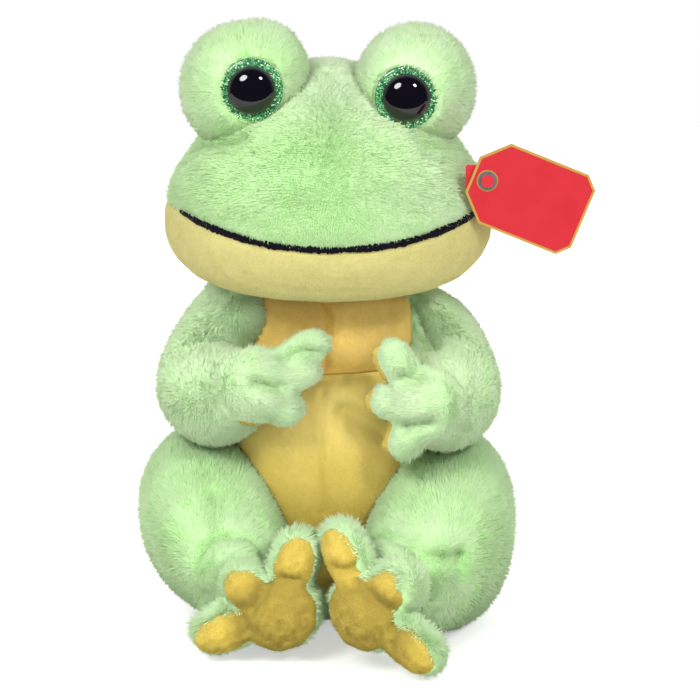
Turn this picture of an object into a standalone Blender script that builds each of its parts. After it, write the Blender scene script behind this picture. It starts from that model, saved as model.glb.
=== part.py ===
"""A sitting plush frog: stuffed body, head, limbs and paws, set eyes and a blank swing tag.

Metres, +Z up. The frog faces -Y and +X is the viewer's right.
The origin lies on the flat under the seat, below the neck.
"""
import math

import bmesh
import bpy
from mathutils import Matrix, Vector
from mathutils.bvhtree import BVHTree

# Clearances shared by the whole toy
SEAM_GAP = 0.0003
WELD = 0.00001
CUT_OVERRUN = 0.020
FLOOR_SINK = 0.0005

# Body, measured from the seat flat
BODY_HEIGHT = 0.0965
BODY_WIDTH = 0.0570
BODY_FRONT = 0.0305
BODY_BACK = 0.0335
BODY_SIDES = 10
# height, width, front reach and back reach, each as a share of its size
BODY_STATION_SHARES = (
    (0.002, 0.68, 0.48, 0.72),
    (0.065, 0.88, 0.69, 0.92),
    (0.20, 0.98, 0.92, 1.00),
    (0.40, 1.00, 1.05, 0.98),
    (0.57, 0.98, 1.00, 0.90),
    (0.71, 0.91, 0.81, 0.79),
    (0.86, 0.85, 0.77, 0.72),
    (0.965, 0.66, 0.58, 0.55),
)
# The neck is a dome that reaches up into the head; a ledge lies round it
NECK_RADIUS = 0.0240
NECK_BACK = 0.0020
NECK_REACH = 0.0082
NECK_LEDGE_DROP = 0.0014
NECK_GAP = 0.0008
NECK_SEGMENTS = 24
NECK_RINGS = 4

# Yellow front panels, as seen from the front
PANEL_WIDTH = 0.0470
PANEL_BACK_SHARE = 0.24
WAIST_SHARE = 0.705
# height up the body and half width of the panel outline
PANEL_OUTLINE_SHARES = (
    (1.02, 0.70),
    (0.87, 0.82),
    (0.72, 0.86),
    (0.57, 1.00),
    (0.40, 1.00),
    (0.24, 0.74),
    (0.10, 0.36),
)

# Pellet bag in a pocket behind the belly
BAG_WIDTH = 0.0340
BAG_DEPTH = 0.0200
BAG_HEIGHT = 0.0260
BAG_FLOOR = 0.0070
# width and height of the pocket's mouth, as a share of the pocket
BAG_MOUTH_SHARE = 0.66

# Head: reach to the snout and to the back, width at the cheeks
HEAD_FRONT = 0.0490
HEAD_BACK = 0.0285
HEAD_WIDTH = 0.0824
HEAD_RISE = 0.0365
HEAD_DROP = 0.0197
CHEEK_HEIGHT = BODY_HEIGHT - NECK_REACH + HEAD_DROP
HEAD_SIDES = 12
# below 1 a section is squarer than an ellipse, above 1 it is more pointed
HEAD_TOP_TAPER_SHARE = 1.60
HEAD_JAW_TAPER_SHARE = 0.50
# depth, width, rise, drop and lift of the widest point
HEAD_STATION_SHARES = (
    (-0.965, 0.40, 0.20, 0.44, -0.03),
    (-0.81, 0.73, 0.40, 0.84, -0.02),
    (-0.52, 0.97, 0.66, 1.01, 0.0),
    (-0.13, 1.045, 0.93, 1.03, 0.01),
    (0.36, 0.91, 1.01, 0.96, 0.05),
    (0.74, 0.66, 0.80, 0.80, 0.12),
    (0.93, 0.36, 0.42, 0.50, 0.20),
)
HEAD_YAW_DEG = 1.5
HEAD_ROLL_DEG = 0.2

# Mouth line: lowest in the middle, rising to the corners
MOUTH_SPREAD_SHARE = 0.886
MOUTH_DROP = 0.0029
MOUTH_RISE = 0.0056
MOUTH_STEPS = 20
JAW_BACK_SHARE = 0.10
THREAD_RADIUS = 0.0006

# Eye mounds on top of the head
MOUND_SPREAD_SHARE = 0.5437
MOUND_FRONT_SHARE = 0.0816
MOUND_HEIGHT_SHARE = 0.8658
MOUND_HALF_WIDTH = 0.0149
MOUND_HALF_DEPTH = 0.0156
MOUND_HALF_HEIGHT = 0.0157
MOUND_SEGMENTS = 12
MOUND_RINGS = 8
MOUTH_HALF_WIDTH = MOUTH_SPREAD_SHARE * HEAD_WIDTH / 2
MOUTH_MIDDLE_HEIGHT = CHEEK_HEIGHT - MOUTH_DROP
MOUND_SPREAD = MOUND_SPREAD_SHARE * HEAD_WIDTH / 2
MOUND_BACK = -MOUND_FRONT_SHARE * HEAD_FRONT
MOUND_HEIGHT = CHEEK_HEIGHT + MOUND_HEIGHT_SHARE * HEAD_RISE

# Eyes: glitter disc, black dome with its shank, lock washer
EYE_INWARD_SHARE = 0.190
EYE_UNEVEN_SHARE = 0.060
EYE_SPREAD = MOUND_SPREAD - EYE_INWARD_SHARE * MOUND_HALF_WIDTH
EYE_UNEVEN = EYE_UNEVEN_SHARE * MOUND_HALF_HEIGHT
DISC_RADIUS = 0.0080
DISC_THICKNESS = 0.0009
DISC_DEPTH = 0.0024
PUPIL_RADIUS = 0.0061
PUPIL_RISE = 0.0030
PUPIL_LIP = 0.0006
SHANK_RADIUS = 0.0016
SHANK_LENGTH = 0.0075
WASHER_RADIUS = 0.0048
WASHER_THICKNESS = 0.0010
WASHER_DEPTH = 0.0045
EYE_SEGMENTS = 20
POCKET_SEGMENTS = 14
DOME_STEPS = 5

# Arms: shoulder, elbow and wrist
SHOULDER_SPREAD = BODY_WIDTH / 2
SHOULDER_HEIGHT_SHARE = 0.715
SHOULDER_HEIGHT = SHOULDER_HEIGHT_SHARE * BODY_HEIGHT
ARM_FORWARD = 0.0340
ARM_THICKNESS = 0.0262
ARM_SIDES = 10
# outwards, forwards and height of the sections
ARM_PATH_SHARES = {
    "left": ((0.50, 0.05, 1.13), (0.90, 0.02, 1.065), (1.15, -0.33, 0.890),
             (1.07, -0.68, 0.885), (0.77, -0.94, 0.965)),
    "right": ((0.50, 0.05, 1.13), (0.90, 0.02, 1.060), (1.16, -0.33, 0.890),
              (1.12, -0.70, 0.880), (0.92, -0.98, 0.910)),
}
ARM_WIDTH_SHARES = (0.95, 1.06, 0.95, 0.88, 0.76)
ARM_RISE_SHARES = (0.98, 1.14, 0.98, 0.90, 0.79)
# how far the root runs on into the body, as a share of the first section gap
ARM_ROOT_SHARE = 0.4
LEG_ROOT_SHARE = 0.5
SHOULDER_AXIS_BACK = 0.0120
SHOULDER_AXIS_SPREAD = 0.0215

# Legs: hip, knee and ankle
LEG_SPREAD_SHARE = 1.056
LEG_SPREAD = LEG_SPREAD_SHARE * BODY_WIDTH / 2
LEG_HEIGHT = 0.0262
LEG_FORWARD = 0.0440
LEG_WIDTH = 0.0370
LEG_RISE = 0.0226
LEG_SIDES = 10
# outwards, forwards and height of the sections
LEG_PATH_SHARES = {
    "left": ((0.47, 0.19, 1.00), (0.88, 0.08, 1.06), (1.10, -0.27, 1.13),
             (0.96, -0.66, 0.98), (0.58, -0.96, 0.66)),
    "right": ((0.47, 0.19, 1.00), (0.88, 0.08, 1.01), (1.08, -0.27, 1.01),
              (0.94, -0.66, 0.90), (0.55, -1.085, 0.64)),
}
LEG_WIDTH_SHARES = (0.86, 0.99, 1.01, 0.88, 0.55)
LEG_RISE_SHARES = {"left": (0.80, 1.00, 0.98, 0.80, 0.42), "right": (0.80, 1.02, 1.08, 0.86, 0.42)}
# share of the height of each station that the leg reaches down
LEG_DROP_SHARES = {"left": (1.05, 1.04, 0.77, 0.80, 0.62), "right": (0.90, 1.04, 1.05, 0.99, 0.62)}
LEG_TOP_TAPER_SHARE = 0.56
LEG_UNDER_TAPER_SHARES = {"left": 1.75, "right": 1.0}
HIP_AXIS_BACK = 0.0215
HIP_AXIS_SPREAD = 0.0215

# Paws: a palm pad and three digits fanned from it
HAND_RADIUS = 0.0094
HAND_THICKNESS = 0.0125
FINGER_REACH = 0.0140
FINGER_RADIUS = 0.0042
FOOT_RADIUS = 0.0100
FOOT_THICKNESS = 0.0135
TOE_REACH = 0.0160
TOE_RADIUS = 0.0054
DIGIT_SIDES = 6
# distance along the digit and its swell
DIGIT_STATION_SHARES = ((0.30, 0.95), (1.02, 1.06))
PAD_SEGMENTS = 10
PAD_RINGS = 6
PALM_LINE_SHARE = -0.10
SOLE_LINE_SHARE = 0.40
# angle in degrees from the inward direction and reach share of each digit
FINGER_FAN_SHARES = {
    "left": ((34.0, 1.36), (13.0, 0.98), (-40.0, 0.80)),
    "right": ((57.0, 1.16), (3.0, 0.80), (-62.0, 0.92)),
}
TOE_FAN_SHARES = {
    "left": ((108.0, 1.10), (36.0, 0.80), (-22.0, 1.22)),
    "right": ((112.0, 1.22), (42.0, 0.76), (-36.0, 1.20)),
}
HAND_PLACE_SHARES = {"left": (0.63, -1.13, 0.998), "right": (0.87, -1.13, 0.925)}
HAND_YAW_DEG = {"left": 8.0, "right": 6.0}
FOOT_PLACE_SHARES = {"left": (0.39, -1.165, 0.54), "right": (0.37, -1.33, 0.625)}
FOOT_YAW_DEG = {"left": -4.0, "right": 30.0}
FOOT_ROLL_DEG = {"left": 0.0, "right": 5.0}

# Swing tag: blank card, eyelet and plastic fastener on the viewer's right cheek
TAG_LENGTH = 0.0300
TAG_WIDTH = 0.0215
TAG_THICKNESS = 0.0008
TAG_CORNER = 0.0030
TAG_END_CUT = 0.0060
TAG_HANG_DEG = 22.0
TAG_SPREAD_SHARE = 0.9515
TAG_HEIGHT_SHARE = 0.3233
TAG_FRONT_SHARE = 0.6735
TAG_SPREAD = TAG_SPREAD_SHARE * HEAD_WIDTH / 2
TAG_HEIGHT = CHEEK_HEIGHT + TAG_HEIGHT_SHARE * HEAD_RISE
TAG_FRONT = TAG_FRONT_SHARE * HEAD_FRONT
TAG_HOLE_INSET = 0.0040
EYELET_RADIUS = 0.0021
EYELET_BORE = 0.0011
EYELET_LIP = 0.0003
EYELET_SEAT = 0.0001
PIN_RADIUS = 0.0006
PIN_HEAD_RADIUS = 0.0016
PIN_HEAD_THICKNESS = 0.0006
PIN_SINK = 0.00035
CLIP_WIDTH = 0.0032
CLIP_HEIGHT = 0.0074
CLIP_THICKNESS = 0.0014
CLIP_BEVEL = 0.0004
ANCHOR_RADIUS = 0.0006
ANCHOR_DEPTH = 0.0050
BARB_RADIUS = 0.0013
BARB_LENGTH = 0.0016

SIDES = {"left": -1.0, "right": 1.0}
CIRCLE_SEGMENTS = 16


def start_collections():
    """Empty the file and make the two collections."""
    for old in list(bpy.data.objects):
        bpy.data.objects.remove(old, do_unlink=True)
    parts = bpy.data.collections.new("plush_frog")
    cutters = bpy.data.collections.new("cutters")
    for collection in (parts, cutters):
        bpy.context.scene.collection.children.link(collection)
    return parts, cutters


PARTS, CUTTERS = start_collections()


def finish_of(name, hex_colour, roughness, metallic=0.0):
    """A Principled material from an sRGB hex colour."""
    channels = [int(hex_colour[i:i + 2], 16) / 255 for i in (1, 3, 5)]
    linear = [c / 12.92 if c <= 0.04045 else ((c + 0.055) / 1.055) ** 2.4 for c in channels]
    material = bpy.data.materials.new(name)
    material.use_nodes = True
    shader = material.node_tree.nodes["Principled BSDF"]
    shader.inputs["Base Color"].default_value = (*linear, 1.0)
    shader.inputs["Roughness"].default_value = roughness
    shader.inputs["Metallic"].default_value = metallic
    return material


def place(name, mesh, material=None):
    """Link a mesh as a sub-part, or as a hidden cutter when it has no material."""
    thing = bpy.data.objects.new(name, mesh)
    if material is None:
        CUTTERS.objects.link(thing)
        thing.hide_render = True
        thing.display_type = "WIRE"
    else:
        PARTS.objects.link(thing)
        mesh.materials.clear()
        mesh.materials.append(material)
    return thing


def mesh_from(build, name):
    """Run a bmesh builder and return its mesh with faces pointing out."""
    form = bmesh.new()
    build(form)
    bmesh.ops.recalc_face_normals(form, faces=form.faces)
    mesh = bpy.data.meshes.new(name)
    form.to_mesh(mesh)
    form.free()
    mesh.shade_smooth()
    return mesh


def egg_ring(centre, across, up, half_width, rise, drop, sides, top_taper=1.0, under_taper=1.0):
    """One closed section: an ellipse with its own reach and taper upwards and downwards."""
    level_one_gain = 8.0 / (6.0 + 2.0 * math.cos(math.tau / sides))
    ring = []
    for step in range(sides):
        turn = math.tau * step / sides
        wide = math.cos(turn)
        high = math.sin(turn)
        reach = rise if high > 0 else drop
        width = half_width * math.copysign(abs(wide) ** (top_taper if high > 0 else under_taper), wide)
        ring.append(centre + level_one_gain * (across * width + up * reach * high))
    return ring


def loft(name, rings, first_pole, last_pole, material=None):
    """A soft form: rings bridged in order, closed at two poles, subdivided once."""
    def build(form):
        rows = [[form.verts.new(point) for point in ring] for ring in rings]
        sides = len(rows[0])
        for low, high in zip(rows, rows[1:]):
            for i in range(sides):
                j = (i + 1) % sides
                form.faces.new((low[i], low[j], high[j], high[i]))
        for row, pole in ((rows[0], first_pole), (rows[-1], last_pole)):
            tip = form.verts.new(pole)
            for i in range(sides):
                form.faces.new((row[i], row[(i + 1) % sides], tip))
    thing = place(name, mesh_from(build, name), material)
    smooth = thing.modifiers.new("Soft", "SUBSURF")
    smooth.levels = 1
    smooth.render_levels = 1
    return thing


def limb_rings(path, widths, rises, drops, sides, top_taper=1.0, under_taper=1.0):
    """Sections square to a path, kept upright."""
    rings = []
    for i, centre in enumerate(path):
        ahead = path[min(i + 1, len(path) - 1)] - path[max(i - 1, 0)]
        across = ahead.cross(Vector((0, 0, 1))).normalized()
        up = across.cross(ahead).normalized()
        rings.append(egg_ring(centre, across, up, widths[i], rises[i], drops[i], sides, top_taper, under_taper))
    return rings


def turned(name, profile, matrix, material=None, segments=EYE_SEGMENTS, closed=False):
    """A turned piece: a profile of radius and height, screwed round local Z, then placed."""
    points = [(r, 0, h) for r, h in profile]
    edges = [(i, i + 1) for i in range(len(points) - 1)]
    if closed:
        edges.append((len(points) - 1, 0))
    mesh = bpy.data.meshes.new(name)
    mesh.from_pydata(points, edges, [])
    thing = place(name, mesh, material)
    thing.matrix_world = matrix
    screw = thing.modifiers.new("Turn", "SCREW")
    screw.steps = segments
    screw.render_steps = segments
    screw.use_merge_vertices = True
    screw.merge_threshold = WELD
    screw.use_smooth_shade = True
    return thing


def ellipsoid(name, matrix, segments, rings, material=None):
    """A unit sphere carried to its place and size by a matrix."""
    def build(form):
        bmesh.ops.create_uvsphere(form, u_segments=segments, v_segments=rings, radius=1.0, matrix=matrix)
    return place(name, mesh_from(build, name), material)


def block(name, low, high, material=None):
    """A box between two corners."""
    size = Vector(high) - Vector(low)
    middle = (Vector(high) + Vector(low)) / 2
    matrix = Matrix.Translation(middle) @ Matrix.Diagonal((*size, 1.0))

    def build(form):
        bmesh.ops.create_cube(form, size=1.0, matrix=matrix)
    return place(name, mesh_from(build, name), material)


def prism_along_y(name, outline, front, back):
    """An outline of X and Z extruded from a front plane to a back plane."""
    def build(form):
        corners = [form.verts.new((x, front, z)) for x, z in outline]
        face = form.faces.new(corners)
        grown = bmesh.ops.extrude_face_region(form, geom=[face])["geom"]
        moved = [v for v in grown if isinstance(v, bmesh.types.BMVert)]
        bmesh.ops.translate(form, verts=moved, vec=(0, back - front, 0))
    return place(name, mesh_from(build, name))


def oval_tunnel(name, middle, half_sizes, share):
    """An oval tube from a middle point forwards, a share of the room's width and height."""
    half_width, half_depth, half_height = half_sizes
    half_width *= share
    half_height *= share
    reach = half_depth + BAG_DEPTH
    place_matrix = Matrix.Translation(middle - Vector((0, reach / 2, 0)))
    size = Matrix.Diagonal((half_width, reach, half_height, 1.0))
    along = Matrix.Rotation(math.pi / 2, 4, "X")

    def build(form):
        bmesh.ops.create_cone(form, cap_ends=True, segments=PAD_SEGMENTS, radius1=1.0, radius2=1.0,
                              depth=1.0, matrix=place_matrix @ size @ along)
    return place(name, mesh_from(build, name))


def boolean(target, tool, operation="DIFFERENCE"):
    """Cut, keep or join with the exact solver."""
    step = target.modifiers.new(operation.title(), "BOOLEAN")
    step.operation = operation
    step.solver = "EXACT"
    step.object = tool
    return target


def same_form(source, name, material=None):
    """A second object on the same mesh with the same modifiers."""
    twin = place(name, source.data.copy(), material)
    twin.matrix_world = source.matrix_world
    for old in source.modifiers:
        new = twin.modifiers.new(old.name, old.type)
        if old.type == "SUBSURF":
            new.levels = old.levels
            new.render_levels = old.render_levels
        elif old.type == "BOOLEAN":
            new.operation = old.operation
            new.solver = old.solver
            new.object = old.object
    return twin


def swollen(source, gap):
    """A cutter: the same form grown by a clearance."""
    grown = same_form(source, source.name + "_clearance")
    puff = grown.modifiers.new("Clearance", "DISPLACE")
    puff.mid_level = 0.0
    puff.strength = gap
    return grown


def hinge_point(name, point, turn=None):
    """An empty on a joint's axis."""
    axis = bpy.data.objects.new(name, None)
    PARTS.objects.link(axis)
    axis.location = point
    if turn is not None:
        axis.rotation_euler = turn
    return axis


def hang(pieces, axis):
    """Parent pieces to an axis, keeping the place they were modelled in."""
    for piece in pieces:
        piece.parent = axis
        piece.matrix_parent_inverse = Matrix.Translation(-axis.location)


def surface_of(thing):
    """A search tree over a form as the viewport shows it."""
    graph = bpy.context.evaluated_depsgraph_get()
    return BVHTree.FromObject(thing, graph)


GREEN = finish_of("pile_green", "#B4E49B", 0.95)
YELLOW = finish_of("pile_yellow", "#D9CC80", 0.95)
AMBER = finish_of("pile_amber", "#CDA645", 0.95)
BLACK_THREAD = finish_of("thread_black", "#11101C", 0.60)
GLITTER = finish_of("glitter_green", "#2F7A4D", 0.30, 0.6)
BLACK_PLASTIC = finish_of("plastic_black", "#07050F", 0.08)
WASHER_STEEL = finish_of("washer_steel", "#B9BDC2", 0.35, 1.0)
BAG_CLOTH = finish_of("bag_cloth", "#E9E6DC", 0.90)
RED_CARD = finish_of("card_red", "#C9202B", 0.35)
RED_PLASTIC = finish_of("plastic_red", "#CE2129", 0.30)
EYELET_METAL = finish_of("eyelet_metal", "#C8CACD", 0.25, 1.0)


def floor_cutter():
    """What lies below the surface the toy sits on."""
    reach = BODY_HEIGHT + CUT_OVERRUN
    return block("below_the_floor", (-reach, -reach, -CUT_OVERRUN), (reach, reach, 0))


FLOOR = floor_cutter()


def body_form():
    """The whole stuffed body, a little below the floor so that it sits on a flat."""
    rings = []
    for up, wide, front, back in BODY_STATION_SHARES:
        centre = Vector((0, 0, up * BODY_HEIGHT))
        half = wide * BODY_WIDTH / 2
        rings.append(egg_ring(centre, Vector((1, 0, 0)), Vector((0, -1, 0)), half,
                              front * BODY_FRONT, back * BODY_BACK, BODY_SIDES))
    seat = Vector((0, BODY_BACK - BODY_FRONT, -FLOOR_SINK))
    top = Vector((0, NECK_BACK, BODY_HEIGHT))
    return loft("body_form", rings, seat, top)


def neck_profile(radius, low):
    """Profile from the neck's dome outwards: a ring that trims all outside the dome."""
    points = []
    dome_middle = BODY_HEIGHT - NECK_RADIUS
    steps = NECK_RINGS
    start = math.asin((low - dome_middle) / radius)
    for i in range(steps + 1):
        turn = math.pi / 2 + (start - math.pi / 2) * i / steps
        points.append((radius * math.cos(turn), dome_middle + radius * math.sin(turn)))
    points[0] = (0, points[0][1])
    return points


def build_body():
    """Back, chest and belly panels and the pellet bag behind them."""
    form = body_form()
    neck_place = Matrix.Translation((0, NECK_BACK, 0))
    trim_height = BODY_HEIGHT - NECK_REACH - NECK_LEDGE_DROP
    dome = neck_profile(NECK_RADIUS, trim_height)
    over = BODY_HEIGHT + CUT_OVERRUN
    outside = [(0, over), (BODY_WIDTH, over), (BODY_WIDTH, trim_height)] + dome[::-1]
    trim = turned("neck_trim", outside, neck_place, segments=NECK_SEGMENTS)

    front = -(BODY_FRONT + CUT_OVERRUN)
    back = -PANEL_BACK_SHARE * BODY_FRONT
    right = [(w * PANEL_WIDTH / 2, h * BODY_HEIGHT) for h, w in PANEL_OUTLINE_SHARES]
    outline = right + [(-x, z) for x, z in reversed(right)]
    panel = prism_along_y("front_panels", outline, front, back)
    grown = [(x + math.copysign(SEAM_GAP, x), z) for x, z in outline]
    grown = [(x, z - SEAM_GAP if z < BAG_HEIGHT / 2 else z) for x, z in grown]
    panel_room = prism_along_y("front_panel_room", grown, front, back + SEAM_GAP)

    waist = WAIST_SHARE * BODY_HEIGHT
    side = BODY_WIDTH
    above = block("above_waist", (-side, front, waist - SEAM_GAP / 2), (side, side, over))
    under = block("under_waist", (-side, front, -CUT_OVERRUN), (side, side, waist + SEAM_GAP / 2))

    bag_place = Vector((0, back + SEAM_GAP + BAG_DEPTH / 2 + SEAM_GAP, BAG_FLOOR + BAG_HEIGHT / 2))
    bag_size = Matrix.Diagonal((BAG_WIDTH / 2, BAG_DEPTH / 2, BAG_HEIGHT / 2, 1.0))
    bag = ellipsoid("pellet_bag", Matrix.Translation(bag_place) @ bag_size, PAD_SEGMENTS, PAD_RINGS, BAG_CLOTH)
    half_room = [half / 2 + SEAM_GAP for half in (BAG_WIDTH, BAG_DEPTH, BAG_HEIGHT)]
    room = ellipsoid("bag_room", Matrix.Translation(bag_place) @ Matrix.Diagonal((*half_room, 1.0)),
                     PAD_SEGMENTS, PAD_RINGS)
    mouth = oval_tunnel("bag_mouth", bag_place, half_room, BAG_MOUTH_SHARE)

    back_skin = same_form(form, "body_back", GREEN)
    chest = same_form(form, "chest_panel", AMBER)
    belly = same_form(form, "belly_panel", AMBER)
    for piece in (back_skin, chest):
        boolean(piece, trim)
    boolean(back_skin, FLOOR)
    boolean(back_skin, panel_room)
    boolean(back_skin, room)
    boolean(back_skin, mouth)
    for piece, other in ((chest, under), (belly, above)):
        boolean(piece, panel, "INTERSECT")
        boolean(piece, other)
    return form


def head_form():
    """Muzzle, cheeks and crown as one swelling form."""
    rings = []
    for along, wide, rise, drop, lift in HEAD_STATION_SHARES:
        reach = HEAD_FRONT if along < 0 else HEAD_BACK
        centre = Vector((0, along * reach, CHEEK_HEIGHT + lift * HEAD_RISE))
        rings.append(egg_ring(centre, Vector((1, 0, 0)), Vector((0, 0, 1)), wide * HEAD_WIDTH / 2,
                              rise * HEAD_RISE, drop * HEAD_DROP, HEAD_SIDES,
                              HEAD_TOP_TAPER_SHARE, HEAD_JAW_TAPER_SHARE))
    snout = Vector((0, -HEAD_FRONT, rings[0][0].z))
    nape = Vector((0, HEAD_BACK, rings[-1][0].z))
    return loft("head_form", rings, snout, nape)


def mouth_height(x):
    """Height of the mouth line at a distance from the middle."""
    return MOUTH_MIDDLE_HEIGHT + MOUTH_RISE * (x / MOUTH_HALF_WIDTH) ** 2


def jaw_cutter(name, gap):
    """Everything under the mouth line, back to the end of the jaw."""
    side = HEAD_WIDTH / 2 + CUT_OVERRUN
    low = CHEEK_HEIGHT - HEAD_DROP - CUT_OVERRUN
    xs = [side * (2 * i / MOUTH_STEPS - 1) for i in range(MOUTH_STEPS + 1)]
    top = [(x, mouth_height(min(abs(x), HEAD_WIDTH / 2)) + gap) for x in xs]
    outline = top + [(side, low), (-side, low)]
    return prism_along_y(name, outline, -(HEAD_FRONT + CUT_OVERRUN), JAW_BACK_SHARE * HEAD_BACK + gap)


def facing_front(place_point):
    """A frame whose local Z looks out of the toy, along -Y."""
    return Matrix.Translation(place_point) @ Matrix.Rotation(math.pi / 2, 4, "X")


def disc_seat(side):
    """Where the glitter disc lies: a small way under the front of the mound."""
    up = -side * EYE_UNEVEN_SHARE
    front = MOUND_BACK - MOUND_HALF_DEPTH * math.sqrt(1 - EYE_INWARD_SHARE ** 2 - up ** 2)
    return Vector((side * EYE_SPREAD, front + DISC_DEPTH, MOUND_HEIGHT - side * EYE_UNEVEN))


def build_eye(label, side, mound):
    """Glitter disc, black dome with shank and the washer that locks it inside the mound."""
    frame = facing_front(disc_seat(side))
    rim = DISC_THICKNESS
    bore = SHANK_RADIUS + SEAM_GAP
    disc = turned("eye_disc_" + label, [(DISC_RADIUS, rim), (DISC_RADIUS, 0), (bore, 0), (bore, rim)],
                  frame, GLITTER, closed=True)
    base = rim + SEAM_GAP
    dome = []
    for i in range(DOME_STEPS + 1):
        turn = math.pi / 2 * (1 - i / DOME_STEPS)
        dome.append((PUPIL_RADIUS * math.cos(turn), base + PUPIL_LIP + PUPIL_RISE * math.sin(turn)))
    dome[0] = (0, dome[0][1])
    stem = [(PUPIL_RADIUS, base), (SHANK_RADIUS, base), (SHANK_RADIUS, -SHANK_LENGTH), (0, -SHANK_LENGTH)]
    pupil = turned("eye_pupil_" + label, dome + stem, frame, BLACK_PLASTIC)
    far = WASHER_DEPTH + WASHER_THICKNESS
    washer = turned("eye_washer_" + label,
                    [(WASHER_RADIUS, -WASHER_DEPTH), (WASHER_RADIUS, -far), (bore, -far), (bore, -WASHER_DEPTH)],
                    frame, WASHER_STEEL, segments=CIRCLE_SEGMENTS, closed=True)
    pocket = [(0, CUT_OVERRUN), (DISC_RADIUS + SEAM_GAP, CUT_OVERRUN), (DISC_RADIUS + SEAM_GAP, -SEAM_GAP),
              (bore, -SEAM_GAP), (bore, SEAM_GAP - WASHER_DEPTH),
              (WASHER_RADIUS + SEAM_GAP, SEAM_GAP - WASHER_DEPTH),
              (WASHER_RADIUS + SEAM_GAP, -far - SEAM_GAP), (bore, -far - SEAM_GAP),
              (bore, -SHANK_LENGTH - SEAM_GAP), (0, -SHANK_LENGTH - SEAM_GAP)]
    boolean(mound, turned("eye_pocket_" + label, pocket, frame, segments=POCKET_SEGMENTS))
    return [disc, pupil, washer]


def build_mouth_thread(surface):
    """Satin-stitched thread lying on the seam from corner to corner."""
    points = []
    for i in range(MOUTH_STEPS + 1):
        x = MOUTH_HALF_WIDTH * (2 * i / MOUTH_STEPS - 1)
        start = Vector((x, -(HEAD_FRONT + CUT_OVERRUN), mouth_height(x)))
        hit, normal, _, _ = surface.ray_cast(start, Vector((0, 1, 0)))
        points.append(hit + normal * (THREAD_RADIUS + SEAM_GAP))
    curve = bpy.data.curves.new("mouth_thread", "CURVE")
    curve.dimensions = "3D"
    curve.bevel_depth = THREAD_RADIUS
    curve.bevel_resolution = 1
    curve.use_fill_caps = True
    line = curve.splines.new("POLY")
    line.points.add(len(points) - 1)
    for spot, point in zip(line.points, points):
        spot.co = (*point, 1.0)
    thing = bpy.data.objects.new("mouth_thread", curve)
    PARTS.objects.link(thing)
    curve.materials.append(BLACK_THREAD)
    close = thing.modifiers.new("Close", "WELD")
    close.merge_threshold = WELD
    return thing


def clip_place(surface):
    """Where the fastener's anchor meets the cheek."""
    spot = Vector((TAG_SPREAD - EYELET_RADIUS - CLIP_WIDTH / 2, -(HEAD_FRONT + CUT_OVERRUN), TAG_HEIGHT))
    hit, _, _, _ = surface.ray_cast(spot, Vector((0, 1, 0)))
    return hit


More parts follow.
